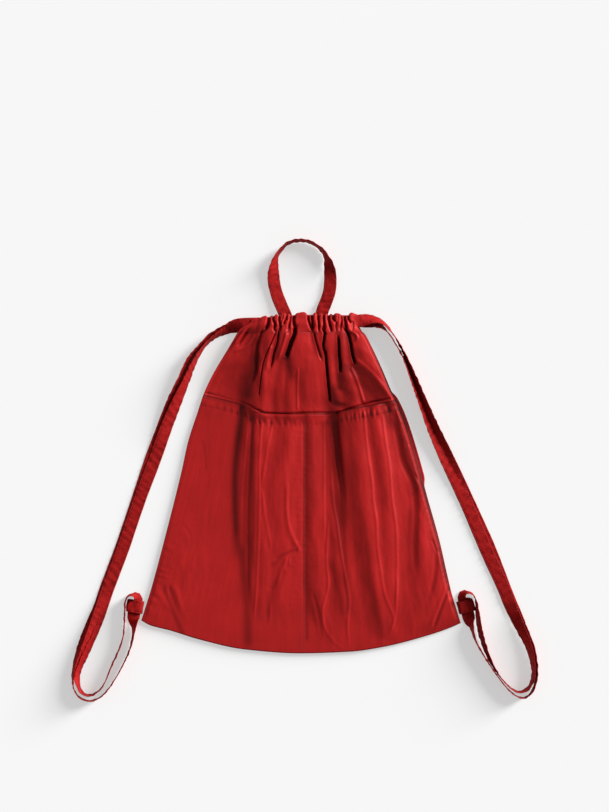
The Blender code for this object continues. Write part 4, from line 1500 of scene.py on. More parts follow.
FRONT_CREASES: tuple[Crease, ...] = (
    Crease(((253, 322), (241, 336), (229, 353)), 3.5, 3.5, 2.4, RIDGE, (4, 14), 0.7),
    Crease(((250, 328), (244, 337), (237, 348)), 3, 2.6, -2.2, PLEAT, (4, 8), 0.8),
    Crease(((256, 333), (248, 345), (233, 353)), 3, 3, 1, RIDGE, (4, 8), 0.8),
    Crease(((296, 331), (294, 337), (291.5, 343), (289.5, 349), (286.5, 358)), 3.2, 2.4, -9, CHANNEL,
        (0, 5), 0.9),
    Crease(((279, 331), (278.3, 340), (277, 346), (274.5, 353), (273, 361), (270, 371)), 1.6, 1.3, -5,
        PLEAT, (0, 12)),
    Crease(((262, 331), (261, 337), (258, 346), (257, 358), (256, 372), (250, 388)), 3.5, 2.2, -3.5,
        PLEAT, (0, 14), 1.4),
    Crease(((276, 333), (268.5, 350), (264, 362), (262, 372), (260.5, 385), (259, 398)), 1.3, 1.1, -3,
        PLEAT, (3, 6)),
    Crease(((272, 345), (268.5, 360), (266, 372)), 3, 2.5, 1.4, RIDGE, (4, 8)),
    Crease(((287, 333), (282.5, 348), (277.5, 362)), 2.5, 3, 1.6, RIDGE, (2, 8)),
    Crease(((325, 331), (324, 339), (323.3, 347), (325.5, 354), (326.3, 363), (327.2, 372), (328.6, 386),
        (330.5, 404)), 1.9, 1.8, -8, CHANNEL, (2, 8)),
    Crease(((337.6, 335), (338.4, 344), (338.8, 354), (339.8, 363), (340, 374)), 1.6, 1.8, -9, CHANNEL,
        (9, 7), 1.25),
    Crease(((347, 332), (349.5, 341), (351, 349), (352.5, 357), (356, 366)), 1.8, 2.4, -8, CHANNEL,
        (2, 7)),
    Crease(((342.5, 329), (345, 331.5), (349, 332.5)), 1.8, 1.6, -5, RIDGE, (2, 3)),
    Crease(((350, 333), (355, 334.5), (357, 338), (354, 342)), 2, 2, 1.8, RIDGE, (3, 4)),
    Crease(((354, 359), (365, 368), (376, 379), (385, 390), (390, 397)), 5, 3.5, 1, RIDGE, (4, 3)),
    Crease(((350, 366), (356.5, 380), (364, 404)), 3, 3, 1.5, PLEAT, (5, 4)),
    Crease(((314, 333), (316, 342), (319, 352), (322, 362)), 2, 1.6, -3.2, PLEAT, (1, 8)),
    Crease(((298, 366), (297.5, 385), (297.5, 410)), 2.5, 2, 0.7, PLEAT, (8, 2)),
    Crease(((203, 392.5), (210, 394), (222, 397), (236, 401), (246, 403.5), (255, 408.5), (264, 412.5),
        (285, 413.5), (310, 412.7), (330, 412.7), (341, 411.5), (350, 408.7), (360, 405.7), (372, 402.2),
        (382, 400.2), (391, 398.2)), 1.6, 1.6, -2.4, RIDGE, (2, 2)),
    Crease(((330, 402), (341, 406), (350, 404)), 4.5, 4.5, -1.6, RIDGE, (4, 8)),
)
CASING_CREASES: tuple[Crease, ...] = (
    Crease(((252.5, 320), (253, 325)), 2.4, 2.4, -2.5, PLEAT, (1, 1)),
    Crease(((258, 315), (258, 322), (256, 332)), 3.9, 3.9, -1.5, PLEAT, (1, 1)),
    Crease(((269.3, 314), (269, 319), (268.5, 324), (266.5, 329), (262.5, 334)), 3, 2.6, -6.9, PLEAT,
        (0, 0), 1.2),
    Crease(((273, 314), (273.4, 320), (275.2, 325), (274.6, 330), (277, 334)), 2.4, 2.1, -5.6, PLEAT,
        (0, 0)),
    Crease(((280.2, 314), (279.4, 320), (280.3, 325), (280.8, 334)), 2.3, 1.9, -5, PLEAT, (0, 0)),
    Crease(((287, 318), (283.6, 321), (281.8, 327)), 1.3, 1.3, 1.4, RIDGE, (1, 2)),
    Crease(((287.5, 319), (285, 321), (283.5, 326)), 2.3, 2.1, -3.1, PLEAT, (1, 2)),
    Crease(((291, 314), (290.5, 320), (289, 327), (288, 334)), 2.1, 2.1, -3.2, PLEAT, (0, 2)),
    Crease(((295.5, 314), (293.8, 320), (294.6, 326), (295.8, 330), (295, 334)), 3, 2.3, -6.9, PLEAT,
        (0, 0)),
    Crease(((307, 314), (308.2, 320), (309.6, 325), (311.4, 330), (312.5, 334)), 2.1, 2.4, -6.2, PLEAT,
        (0, 0)),
    Crease(((311.5, 314), (312, 320), (312.7, 326), (312.8, 331)), 2.6, 2.3, -6.9, PLEAT, (0, 2)),
    Crease(((317.3, 314), (318.2, 320), (318.8, 326), (318.6, 334)), 2.1, 1.9, -5.6, PLEAT, (0, 0)),
    Crease(((323, 314), (323.8, 322), (324.3, 328), (325, 334)), 2.3, 1.9, -5, PLEAT, (0, 0)),
    Crease(((327.2, 314), (328.6, 320), (329.6, 325), (330.9, 331), (331, 334)), 2.4, 2.3, -6.9, PLEAT,
        (0, 0)),
    Crease(((330.5, 314), (332, 318), (335.5, 322.5)), 2.3, 1.9, -5.6, PLEAT, (0, 2)),
    Crease(((336, 322), (335.5, 328), (336.5, 334)), 2.3, 2.3, -2.2, PLEAT, (1, 1)),
    Crease(((340, 314), (341.5, 320), (340.5, 327), (339, 334)), 2.3, 2.3, -3, PLEAT, (0, 0)),
    Crease(((343.6, 314), (344.3, 319), (345.2, 324), (346.2, 329), (347, 334)), 2.4, 2.3, -6.9, PLEAT,
        (0, 0)),
    Crease(((345.5, 314), (347, 318), (351.3, 324.5)), 2.1, 1.9, -5, PLEAT, (0, 2)),
    Crease(((352, 321), (352.8, 326), (352, 334)), 2.3, 2.1, -3.8, PLEAT, (2, 0)),
)

POCKET_CREASES: tuple[Crease, ...] = (
    Crease(((328, 520), (326.5, 560), (328, 586), (322.5, 608), (325, 628), (337, 644), (348, 652)), 2,
        2, 0.55, PLEAT, (8, 3)),
    Crease(((396.5, 575), (396.5, 595), (394.5, 618), (390, 632)), 2, 2, 0.45, PLEAT, (8, 3)),
    Crease(((240, 520), (241, 560), (242, 600)), 1.6, 1.6, 0.35, PLEAT, (8, 8)),
    Crease(((255, 600), (252.5, 630), (247, 648)), 1.8, 1.8, 0.45, PLEAT, (8, 2)),
    Crease(((271, 598), (269, 625), (267, 649)), 2.5, 2.5, 0.45, RIDGE, (10, 2)),
    Crease(((303, 622), (307, 634), (311, 649)), 2, 2, -0.6, PLEAT, (3, 2)),
    Crease(((294, 540), (299, 549), (291, 556), (289.5, 563), (297, 566)), 1.6, 1.6, 0.45, PLEAT, (4, 2)),
    Crease(((213.5, 404), (214.5, 450), (214.5, 500), (217, 550)), 3.5, 3, 0.45, RIDGE, (8, 40)),
    Crease(((204, 404), (205, 450), (206, 520)), 3, 3, 0.3, RIDGE, (8, 40)),
    Crease(((186, 446), (194, 452), (200, 462)), 2.5, 2.5, -0.5, RIDGE, (4, 6)),
    Crease(((182, 470), (190, 474), (197, 484)), 2.5, 2.5, -0.4, RIDGE, (4, 6)),
    Crease(((172, 520), (184, 526), (192, 538)), 2.5, 2.5, -0.4, RIDGE, (4, 6)),
    Crease(((242, 404), (236, 430), (232, 455), (231, 480)), 4.5, 5.5, -4, RIDGE, (6, 50), 0.8),
    Crease(((334, 404), (336, 430), (338.5, 455), (341, 480), (343.5, 510)), 4.5, 4.5, -6, CHANNEL,
        (10, 60), 0.9),
    Crease(((253, 406), (251.5, 440), (250, 470), (248.5, 500), (248, 560), (248, 620), (249, 645)), 2.6,
        2.6, -0.84, RIDGE, (10, 20)),
    Crease(((324, 412), (324, 500), (324.5, 548)), 2.2, 2.2, 0.42, PLEAT, (6, 20)),
    Crease(((331, 465), (333, 500), (336.5, 520), (340, 545), (345, 575), (349, 600), (347.5, 622),
        (349, 649)), 2.6, 2.2, 0.6, PLEAT, (12, 3)),
    Crease(((363.5, 410), (366, 440), (368.5, 460), (371.5, 480), (373, 500), (376, 520), (377, 545),
        (380.5, 570), (385, 595), (393.5, 618), (391, 631)), 2.6, 2.4, 0.54, PLEAT, (6, 4)),
    Crease(((381, 406), (385, 440), (388.5, 460), (392, 500), (396, 530), (396.5, 580), (395, 612)), 2.6,
        2.4, 0.54, PLEAT, (6, 16)),
    Crease(((262, 420), (259.5, 460), (259.5, 500), (258.5, 540), (257, 580), (255, 610), (253, 645)),
        2.2, 2, 0.48, PLEAT, (8, 10)),
    Crease(((248, 420), (245, 455), (242, 490), (240.5, 518)), 2.2, 2, 0.42, PLEAT, (6, 12)),
    Crease(((227, 452), (227, 505), (225, 532)), 2, 1.8, 0.3, PLEAT, (8, 10)),
    Crease(((394, 408), (398, 440), (403, 462), (412, 482), (415.5, 505), (414, 545), (415, 582)), 5, 5,
        -1.1, RIDGE, (10, 30)),
    Crease(((403, 446), (409, 443), (414, 446)), 2, 2, -0.5, RIDGE, (3, 2)),
    Crease(((413, 472), (418, 480), (423, 486)), 2.5, 2.5, -0.8, RIDGE, (4, 1)),
    Crease(((416, 493), (420, 489), (425, 488)), 2, 2, 0.7, RIDGE, (3, 1)),
    Crease(((420, 516), (424, 510), (428, 508)), 2, 2, -0.6, RIDGE, (3, 1)),
    Crease(((431, 538), (434, 545), (437, 553)), 2, 2, -0.6, RIDGE, (3, 2)),
    Crease(((274, 417), (268, 445), (262, 484)), 2.6, 2.6, 0.42, PLEAT, (8, 8)),
    Crease(((262, 487), (265, 515), (272, 552)), 2.6, 2.6, 0.42, PLEAT, (8, 10)),
    Crease(((287, 478), (288, 522), (298, 549)), 4, 3.5, 0.66, PLEAT, (14, 4)),
    Crease(((299, 549), (286, 554), (272, 560)), 3.4, 3.4, -0.8, RIDGE, (3, 6)),
    Crease(((288, 556), (281, 572), (276, 588)), 4, 3, 0.6, PLEAT, (3, 8)),
    Crease(((286, 569), (276, 580), (268, 592)), 5, 5, -0.6, RIDGE, (5, 6)),
    Crease(((450, 584), (442, 604), (433, 629)), 3, 2.6, -1, PLEAT, (5, 5)),
    Crease(((446, 586), (438, 606), (430, 626)), 3, 3, 0.48, PLEAT, (6, 6)),
    Crease(((436, 545), (434, 575), (426, 606)), 4, 4, -0.6, RIDGE, (8, 10)),
    Crease(((168, 583), (175, 605), (186, 628)), 3.4, 3.4, -1.1, RIDGE, (8, 5)),
    Crease(((174, 583), (181, 605), (191, 626)), 4, 4, 0.54, RIDGE, (8, 6)),
    Crease(((155, 584), (163, 600), (174, 614)), 5, 5, 0.48, RIDGE, (6, 8)),
    Crease(((179, 622), (186, 636)), 3, 3, -0.72, PLEAT, (4, 2)),
    Crease(((202, 438), (205, 463)), 3, 3, -0.42, PLEAT, (5, 6)),
    Crease(((205, 436), (208, 462)), 3, 3, 0.3, PLEAT, (5, 6)),
    Crease(((312, 590), (318, 612), (322, 640)), 3, 3, -0.6, RIDGE, (8, 8)),
    Crease(((366, 640), (376, 643), (386, 640)), 4, 4, 0.6, RIDGE, (4, 4)),
)


@dataclass
class FrontPanel:
    """The front of the pouch, with the casing folded over at its top.

    Lengths are in metres. The panel is hidden by the pocket below the overlap. The casing lies flat
    between flat_left and flat_right, and is gathered to both sides of that. gather_depth and
    crease_depth are how deep a gather or a crease is where its painted shade is at its darkest.
    """

    drape: Drape = Drape(FRONT_FOLDS, 10 * MM, 136 * MM, 0.95, 40 * MM, 0.04)
    creases: CreaseField = CreaseField(FRONT_CREASES)
    gathers: CreaseField = CreaseField(CASING_CREASES, ripple=0.05)
    fine_gathers: Wrinkles = Wrinkles(0.28 * MM, 1730, 2.4, 190, 1.6)
    dome: float = 4.4 * MM
    hidden_dome: float = 2.5 * MM
    puff: float = 1.5 * MM
    seam_width: float = 5 * MM
    overlap: float = 16 * MM
    overlap_fade: float = 15 * MM
    climb_start: float = 30 * MM
    climb: float = 104 * MM
    blend: float = 1.5 * MM
    columns: int = 357
    hidden_rows: int = 7
    open_rows: int = 96
    casing_rows: int = 22
    turn_points: int = 13
    casing_height: float = 5.2 * MM
    crest_above_tape: float = 5 * MM
    stitch_dip: float = 1.6 * MM
    flat_left: float = -8 * MM
    flat_right: float = 10.5 * MM
    flat_soft: float = 2 * MM
    top_wave: float = 3.4 * MM
    top_swell: float = 0.7 * MM
    smoothing: int = 17
    stitches_x: float = 1.2 * MM
    stitches_reach: float = 9.5 * MM
    gather_depth: float = 7 * MM
    crease_depth: float = 9 * MM
    shade_change: float = 4 * MM
    stitch_shade: SeamLine = SeamLine(0.3, 0.0, 1.8 * MM)
    pocket_shade: SeamLine = SeamLine(0.85, 0.0, 1.1 * MM)
    flat_size: tuple[float, float] = (0.385, 0.41)

    def surface(self, x: np.ndarray, y: np.ndarray) -> np.ndarray:
        """The middle of the panel between the bottom seam and the stitch line.

        Args:
            x: places in metres.
            y: places in metres.

        Returns:
            Heights in metres.
        """
        left, right = PLAN.inset(x, y)
        u = left / (left + right)
        seam = LAYERS.back_floor + LAYERS.step
        at_side = seam + (LAYERS.front_stitch - seam) * ease((y - self.climb_start) / self.climb)
        up = rise(y - PLAN.bottom(x), LAYERS.bottom_rise)
        shown = ease((y - PLAN.pocket(x) + self.overlap) / self.overlap_fade)
        inside = ease(left / self.seam_width) * ease(right / self.seam_width)
        dome = (self.hidden_dome + self.dome * shown) * 4 * u * (1 - u) * up
        folds = self.drape.heights(x, y) + self.creases.heights(x, y)
        height = at_side + dome + (self.puff + folds) * shown * inside
        return joined(height, LAYERS.lowest_front, self.blend)

    def build(self, wardrobe: Wardrobe) -> None:
        """Makes the panel and the stitches of its casing.

        Args:
            wardrobe: the materials.
        """
        u = np.linspace(0, 1, self.columns)
        bottom = PLAN.bottom_y(u)
        mouth = PLAN.pocket_y(u) - self.overlap
        hidden = np.linspace(0, 1, self.hidden_rows, endpoint=False)[:, None]
        shown = np.linspace(0, 1, self.open_rows)[:, None]
        panel_y = np.vstack([bottom + (mouth - bottom) * hidden,
                             mouth + (LAYERS.stitch_line - mouth) * shown])
        panel_z = self.surface(PLAN.across(u, panel_y), panel_y)
        casing_y, casing_z = self._casing(u, panel_z[-1])
        y = np.vstack([panel_y, casing_y])
        x = PLAN.across(u, y)
        grid = np.stack([x, y, np.vstack([panel_z, casing_z])], axis=2)
        piece = sheet_piece("front_cloth", grid, PLAN.cloth(u, y), LAYERS.cloth, self._shade(x, y))
        made = piece.finish(wardrobe.material(Finish.CLOTH), Slot.CLOTH, ["front_panel", "pocket_backing"])
        thread = Piece("casing_stitches")
        row = grid[len(panel_z) - 1]
        Stitch().level_row(thread, row[np.abs(row[:, 0] - self.stitches_x) < self.stitches_reach])
        thread.finish(wardrobe.material(Finish.THREAD), Slot.CLOTH)

    def _shade(self, x: np.ndarray, y: np.ndarray) -> np.ndarray:
        """The painted shade of the cloth in its deepest folds and gathers and along its seams."""
        above = y - LAYERS.stitch_line
        gathered = np.clip(-self.gathers.heights(x, y) / self.gather_depth, 0, 1) ** 1.3
        creased = np.clip(-self.creases.heights(x, y) / self.crease_depth, 0, 1)
        shade = sum(fold.shade(x, y) for fold in FRONT_FOLD_SHADES)
        shade += 0.9 * gathered * ease(0.5 + above / self.shade_change)
        shade += 0.3 * creased * ease(0.5 - above / self.shade_change)
        # Painted shade along the stitch line, and a painted shadow just above the pocket's hem.
        return shade + self.stitch_shade.at(above) + self.pocket_shade.at(y - PLAN.pocket(x))

    def _casing(self, u: np.ndarray, stitch_z: np.ndarray) -> tuple[np.ndarray, ...]:
        """The casing from the stitch line up, over its top edge and down inside.

        Args:
            u: the columns.
            stitch_z: the panel's height on the stitch line, at each column.

        Returns:
            The y and the height of its rows.
        """
        crest_y = LAYERS.tape_line + self.crest_above_tape
        rows = self._outside(u, stitch_z, crest_y)
        crest = rows[-1][1]
        middle = (crest + LAYERS.front_inner) / 2
        top = self._top_edge(u, crest_y)
        for turn in np.radians(np.linspace(0, 180, self.turn_points))[1:]:
            edge_y = crest_y + (top - crest_y) * np.sin(turn) ** 0.6
            rows.append((edge_y, middle + (crest - middle) * np.cos(turn)))
        for share in (0.4, 0.8, 1.0):
            rows.append((crest_y + (LAYERS.hem_end - crest_y) * share, LAYERS.front_inner))
        return stacked(rows, u)

    def _outside(self, u: np.ndarray, stitch_z: np.ndarray,
                 crest_y: float) -> list[tuple[Number, Number]]:
        """The (y, height) of the casing's outside rows, from the stitch line to its crest."""
        ends = ease(u / 0.16) * ease((1 - u) / 0.12)
        stitch_x = PLAN.across(u, LAYERS.stitch_line)
        flat = between(stitch_x, self.flat_left, self.flat_right, self.flat_soft)
        foot = stitch_z - self.stitch_dip * (0.15 + 0.85 * flat) * ends
        lowest = LAYERS.tape_top - 5 * MM
        rows = []
        for share in np.linspace(0.04, 1, self.casing_rows):
            y = np.full_like(u, LAYERS.stitch_line + (crest_y - LAYERS.stitch_line) * share)
            crest = LAYERS.tape_top + LAYERS.cloth + self.casing_height * rise(1.25 - share, 0.7) * ends
            crest = np.maximum(crest + self._gathered(u, y) * ends, lowest)
            rows.append((y, foot + (crest - foot) * rise(share, 0.75 - 0.4 * flat)))
        return rows

    def _top_edge(self, u: np.ndarray, crest_y: float) -> np.ndarray:
        """The y of the casing's top edge, which the gathers pull down."""
        pulls = np.clip(self._gathered(u, np.full_like(u, crest_y)) / (3 * MM), -1, 0)
        window = np.hanning(self.smoothing)
        padded = np.pad(pulls, self.smoothing // 2, mode="edge")
        wave = np.convolve(padded, window / window.sum(), mode="valid")
        swell = 0.5 * np.sin(u * 41 + 1.3) + 0.5 * np.sin(u * 67 + 0.4)
        raised = self.top_wave * (wave + 0.35) + self.top_swell * swell
        return PLAN.top(u) + raised * between(u, 0, 1, 0.04)

    def _gathered(self, u: np.ndarray, y: np.ndarray) -> np.ndarray:
        """What the gathers add to the casing's height, mostly below 0."""
        x = PLAN.across(u, y)
        fine = self.fine_gathers.at(x, np.sin(y * 420 + x * 90)) * (0.6 + 0.4 * np.sin(x * 61 + 1.0))
        flat = between(x, self.flat_left - 1 * MM, self.flat_right + 1 * MM, self.flat_soft)
        return self.gathers.heights(x, y) + fine * (1 - flat)


@dataclass
class FrontPocket:
    """The wide patch pocket, hemmed at its mouth and sewn down along its middle.

    Lengths are in metres. It rises by rim inside its seams and by dome in its middle; the fields that
    end in left, right, bottom and width say how far in from a seam a form is at its full height. Left
    of open_left and right of open_right, the lip gets more painted shade, as where the mouth stands open.
    """

    front: FrontPanel
    drape: Drape = Drape(POCKET_FOLDS, -245 * MM, 64 * MM, 0.9, 60 * MM, 0.03)
    creases: CreaseField = CreaseField(POCKET_CREASES, ripple=0.12, seed=11)
    rim: float = 3.0 * MM
    rim_left: float = 45 * MM
    rim_right: float = 30 * MM
    rim_bottom: float = 90 * MM
    dome: float = 4.6 * MM
    dome_bottom: float = 120 * MM
    drape_bottom: float = 18 * MM
    crease_bottom: float = 5 * MM
    seam_width: float = 6 * MM
    blend: float = 0.8 * MM
    hem: float = 9.5 * MM
    hem_thick: float = 0.5 * MM
    hem_step: float = 1.2 * MM
    hem_ruffle: float = 0.45 * MM
    hem_wrinkles: tuple[Wrinkles, ...] = (Wrinkles(1.0, 1050, 3.1, 97, 160),
                                          Wrinkles(0.9, 571, 2, 83, -230))
    ruffle_reach: float = 4.5 * MM
    middle_puckers: tuple[Wrinkles, ...] = (Wrinkles(0.22 * MM, 1030, 2.3, 131, 160),
                                            Wrinkles(0.132 * MM, 643, 2, 71))
    side_puckers: Wrinkles = Wrinkles(0.55 * MM, 760, 2.6, 83, 260)
    pucker_reach: float = 4 * MM
    middle_dip: SeamLine = SeamLine(0.35 * MM, 0.0, 2 * MM)
    roll_shade: SeamLine = SeamLine(0.25, 1 * MM, 2.2 * MM)
    side_shades: tuple[SeamLine, ...] = (SeamLine(0.3, 2.8 * MM, 0.7 * MM), SeamLine(0.35, 0.0, 0.9 * MM))
    bottom_shades: tuple[SeamLine, ...] = (SeamLine(0.2, 3 * MM, 0.7 * MM), SeamLine(0.4, 0.0, 0.9 * MM))
    hem_shade: SeamLine = SeamLine(0.25, 0.8 * MM, 0.7 * MM)
    lip_shade: float = 0.15
    lip_width: float = 0.8 * MM
    open_lip_shade: float = 0.5
    open_left: float = -48 * MM
    open_right: float = 34 * MM
    open_soft: float = 8 * MM
    seam_gap: float = 1.7 * MM
    seam_top: float = 36 * MM
    seam_bottom: float = -239 * MM
    columns: int = 327
    rows: int = 152
    flat_size: tuple[float, float] = (0.385, 0.31)

    def surface(self, x: np.ndarray, y: np.ndarray) -> np.ndarray:
        """The middle of the pocket's cloth.

        Args:
            x: places in metres.
            y: places in metres.

        Returns:
            Heights in metres.
        """
        left, right = PLAN.inset(x, y)
        up = y - PLAN.bottom(x)
        u = left / (left + right)
        edge = self.rim * rise(up, self.rim_bottom)
        edge *= rise(left, self.rim_left) * rise(right, self.rim_right)
        dome = self.dome * 4 * u * (1 - u) * rise(up, self.dome_bottom)
        folds = self.drape.heights(x, y) * rise(up, self.drape_bottom)
        folds += self.creases.heights(x, y) * rise(up, self.crease_bottom)
        folds *= ease(left / self.seam_width) * ease(right / self.seam_width)
        seam = LAYERS.back_floor + 2 * LAYERS.step - self.middle_dip.at(x - LAYERS.middle_seam_x)
        below = self.front.surface(x, y) + LAYERS.step
        return joined(seam + edge + dome + folds + self._puckers(x, y), below, self.blend)

    def _ruffle(self, x: np.ndarray, y: np.ndarray) -> np.ndarray:
        """The short wrinkles that the hem's stitches draw in, from about -1.9 to 1.9."""
        from_hem = PLAN.pocket(x) - y - self.hem
        wave = sum(wrinkles.at(x, y) for wrinkles in self.hem_wrinkles)
        drawn = 0.6 + 0.4 * np.cos((x + 62 * MM) * 42)
        return wave * beside(from_hem, self.ruffle_reach) * drawn

    def _puckers(self, x: np.ndarray, y: np.ndarray) -> np.ndarray:
        """The short wrinkles beside the middle seam, under the hem and along the side seams."""
        off = np.abs(x - LAYERS.middle_seam_x)
        middle = sum(wrinkles.at(y, x) for wrinkles in self.middle_puckers)
        left, right = PLAN.inset(x, y)
        near = np.minimum(left, right * 1.6)
        side = self.side_puckers.at(y, near) * (1 + 0.8 * np.sin(y * 210 + 1.2))
        side = side * np.where(left < right, 1, 0.6)
        return (middle * pulled(off, self.pucker_reach) + side * pulled(near, self.pucker_reach)
                + self.hem_ruffle * self._ruffle(x, y))

    def build(self, wardrobe: Wardrobe) -> None:
        """Makes the pocket, its hem's stitches and those of its middle seam.

        Args:
            wardrobe: the materials.
        """
        u = np.linspace(0, 1, self.columns)
        bottom, top = PLAN.bottom_y(u), PLAN.pocket_y(u)
        y = bottom + (top - bottom) * np.linspace(0, 1, self.rows)[:, None]
        x = PLAN.across(u, y)
        thick = LAYERS.cloth + self.hem_thick * ease((self.hem - (top - y)) / self.hem_step + 0.5)
        grid = np.stack([x, y, self.surface(x, y)], axis=2)
        piece = sheet_piece("pocket_cloth", grid, PLAN.cloth(u, y), thick, self._shade(x, y, top - y))
        made = piece.finish(wardrobe.material(Finish.CLOTH), Slot.CLOTH, ["front_pocket"])
        self._sew(wardrobe)

    def _shade(self, x: np.ndarray, y: np.ndarray, from_top: np.ndarray) -> np.ndarray:
        """The painted shade of the cloth in its deepest folds, in its hem's wrinkles and along its seams."""
        near = np.minimum(*PLAN.inset(x, y))
        up = y - PLAN.bottom(x)
        opened = (ease((self.open_left - x) / self.open_soft)
                  + ease((x - self.open_right) / self.open_soft))
        shade = sum(fold.shade(x, y) for fold in POCKET_FOLD_SHADES)
        # Painted shade in the valleys of the hem's wrinkles.
        shade += 0.4 * np.clip(-self._ruffle(x, y), 0, 1)
        shade += self.roll_shade.at(PLAN.pocket(x) - y)
        # Painted shade along the pocket's top edge, darker towards both ends of its mouth.
        shade += (self.lip_shade + self.open_lip_shade * opened) * beside(from_top, self.lip_width)
        shade += sum(line.at(near) for line in self.side_shades)
        shade += sum(line.at(up) for line in self.bottom_shades)
        return shade + self.hem_shade.at(from_top - self.hem)

    def _sew(self, wardrobe: Wardrobe) -> None:
        """Makes the stitches of the hem and of the middle seam."""
        thread = Piece("pocket_stitches")
        across = np.linspace(0.01, 0.99, 400)
        hem_y = PLAN.pocket_y(across) - self.hem
        down = np.linspace(self.seam_top, self.seam_bottom, 500)
        lines = [(PLAN.across(across, hem_y), hem_y)]
        lines += [(np.full_like(down, LAYERS.middle_seam_x + off), down)
                  for off in (-self.seam_gap, self.seam_gap)]
        for x, y in lines:
            Stitch().level_row(thread, np.column_stack([x, y, self.surface(x, y)]))
        thread.finish(wardrobe.material(Finish.THREAD), Slot.CLOTH)


@dataclass
class BackPanel:
    """The rear of the pouch, flat on the floor, with its own casing.

    Lengths are in metres. Its pleats grow upwards from pleats_start, and its lip shows past the
    front panel on the right, between lip_bottom and lip_top.
    """

    columns: int = 241
    rows: int = 90
    pleats: int = 22
    pleat_height: float = 2.6 * MM
    pleats_start: float = -60 * MM
    pleats_rise: float = 150 * MM
    pleats_end: float = 9 * MM
    lip: float = 3.2 * MM
    lip_bottom: float = -48 * MM
    lip_top: float = 66 * MM
    below_front: float = 1 * MM
    roll: float = 1.8 * MM
    turn_points: int = 9
    flat_size: tuple[float, float] = (0.385, 0.41)

    def build(self, wardrobe: Wardrobe) -> None:
        """Makes the panel.

        Args:
            wardrobe: the materials.
        """
        u = np.linspace(0, 1, self.columns)
        bottom = PLAN.bottom_y(u)
        panel_y = bottom + (LAYERS.stitch_line - bottom) * np.linspace(0, 1, self.rows)[:, None]
        casing_y, casing_z = self._casing(u)
        y = np.vstack([panel_y, casing_y])
        z = np.vstack([self._pleated(u, panel_y), casing_z])
        lip = self.lip * ease((y - self.lip_bottom) / (14 * MM)) * ease((self.lip_top - y) / (8 * MM))
        x = PLAN.across(u, y) + lip * u ** 12
        piece = sheet_piece("back_cloth", np.stack([x, y, z], axis=2), PLAN.cloth(u, y), LAYERS.cloth)
        made = piece.finish(wardrobe.material(Finish.CLOTH), Slot.CLOTH, ["back_panel"])

    def _pleated(self, u: np.ndarray, y: np.ndarray) -> np.ndarray:
        """The height of the panel below the stitch line."""
        wave = 0.5 - 0.5 * np.cos(2 * math.pi * self.pleats * u + 1.1 * np.sin(u * 31))
        gathered = ease((y - self.pleats_start) / self.pleats_rise)
        gathered = gathered * ease((LAYERS.stitch_line - y) / self.pleats_end)
        return LAYERS.back_floor + self.pleat_height * wave * gathered * between(u, 0.08, 0.92, 0.14)

    def _casing(self, u: np.ndarray) -> tuple[np.ndarray, ...]:
        """The y and the height of the casing's rows, up behind the tape and down in front of it."""
        floor, inner = LAYERS.back_floor, LAYERS.back_inner
        fold = PLAN.top(u) - self.below_front - self.roll
        middle = (floor + inner) / 2
        rows = [(LAYERS.tape_line, floor), (fold, floor)]
        for turn in np.radians(np.linspace(0, 180, self.turn_points))[1:]:
            rows.append((fold + self.roll * np.sin(turn), middle + (floor - middle) * np.cos(turn)))
        rows += [(LAYERS.tape_line, inner), (LAYERS.tape_line - 8.3 * MM, inner),
                 (LAYERS.hem_end, floor + LAYERS.step)]
        return stacked(rows, u)


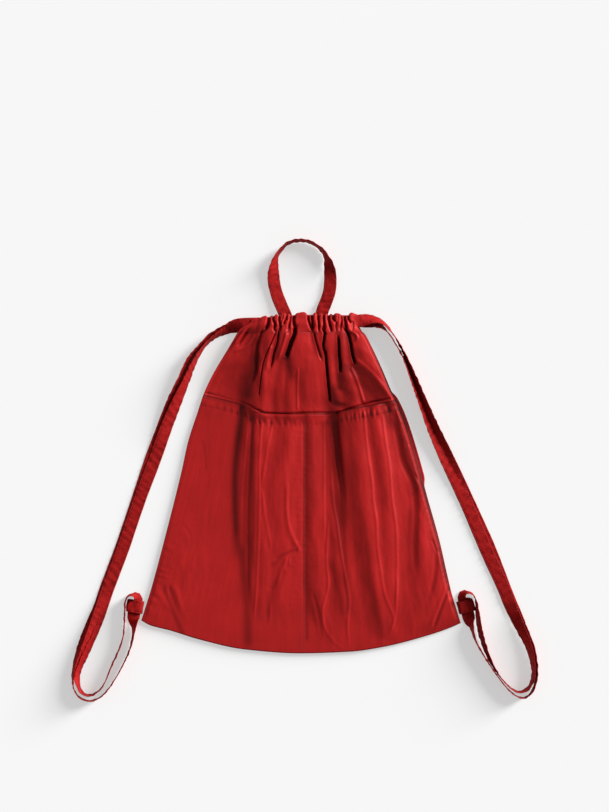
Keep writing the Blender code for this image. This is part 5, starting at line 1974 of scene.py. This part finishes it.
@dataclass(frozen=True)
class Studio:
    """The pale floor, two lamps, the pale surround and the camera straight above.

    Lengths are in metres and spreads in degrees. frame_height is what the picture's longer side
    shows of the floor.
    """

    camera_height: float = 2.5
    frame_height: float = 0.95
    key_strength: float = 2.56
    key_from: tuple[float, float, float] = (1.0, 0.65, 0.72)
    key_spread: float = 18.0
    low_strength: float = 4.2
    low_from: tuple[float, float, float] = (1.0, 0.62, 0.30)
    low_spread: float = 20.0
    world_light: float = 0.25
    floor_half: float = 6.0
    floor_height: float = -0.2 * MM

    def build(self, wardrobe: Wardrobe) -> None:
        """Sets the stage.

        Args:
            wardrobe: the materials.
        """
        self._camera()
        self._floor(wardrobe.material(Finish.FLOOR))
        self._lamp("key_lamp", self.key_strength, self.key_from, self.key_spread)
        self._lamp("low_lamp", self.low_strength, self.low_from, self.low_spread)
        self._world()
        bpy.context.scene.view_settings.view_transform = "Standard"

    def _camera(self) -> None:
        """A long lens that looks straight down, the photograph's way up."""
        data = bpy.data.cameras.new("camera")
        data.sensor_width = 36.0
        data.lens = data.sensor_width * self.camera_height / self.frame_height
        data.clip_end = 20.0
        camera = bpy.data.objects.new("camera", data)
        middle = PHOTO.plan([(PHOTO.width / 2, PHOTO.height / 2)])[0]
        camera.location = (middle[0], middle[1], self.camera_height)
        bpy.context.scene.collection.objects.link(camera)
        bpy.context.scene.camera = camera

    def _floor(self, material: bpy.types.Material) -> None:
        """A wide floor just under the pouch."""
        mesh = bpy.data.meshes.new("floor")
        corners = [(self.floor_half * x, self.floor_half * y, self.floor_height)
                   for x, y in ((-1, -1), (1, -1), (1, 1), (-1, 1))]
        mesh.from_pydata(corners, [], [(0, 1, 2, 3)])
        mesh.materials.append(material)
        floor = bpy.data.objects.new("floor", mesh)
        bpy.context.scene.collection.objects.link(floor)

    @staticmethod
    def _lamp(name: str, strength: float, place: tuple[float, float, float], spread: float) -> None:
        """One broad, far lamp that shines from a place towards the origin."""
        data = bpy.data.lights.new(name, "SUN")
        data.angle = math.radians(spread)
        data.energy = strength
        lamp = bpy.data.objects.new(name, data)
        lamp.location = place
        lamp.rotation_euler = (-Vector(place)).to_track_quat("-Z", "Y").to_euler()
        bpy.context.scene.collection.objects.link(lamp)

    def _world(self) -> None:
        """An even pale surround, which the camera, mirrors and glass see as white."""
        world = bpy.data.worlds.new("surround")
        bpy.context.scene.world = world
        tree = ShaderTree(world, "Background")
        camera, glossy, through = (tree.node("ShaderNodeLightPath", {}, ray)
                                   for ray in ("Is Camera Ray", "Is Glossy Ray", "Is Transmission Ray"))
        white = (camera + glossy + through).clamped()
        tree.set(Color=(1, 1, 1, 1), Strength=white * (1 - self.world_light) + self.world_light)


def main() -> None:
    """Builds the stage and every sub-assembly in order."""
    logging.basicConfig(level=logging.INFO, format="%(message)s")
    wardrobe = Wardrobe()
    Studio().build(wardrobe)
    Drawstring("drawstring_left", LEFT_ROUTE, 1.43, 1).build(wardrobe)
    Drawstring("drawstring_right", RIGHT_ROUTE, 1.43, 2).build(wardrobe)
    HandleLoop().build(wardrobe)
    CornerTab("corner_tab_left", (-185.8, -188.0), (-0.984, 0.176)).build(wardrobe)
    CornerTab("corner_tab_right", (181.2, -188.5), (0.968, 0.252)).build(wardrobe)
    BackPanel().build(wardrobe)
    front = FrontPanel()
    front.build(wardrobe)
    FrontPocket(front).build(wardrobe)


if __name__ == "__main__":
    main()
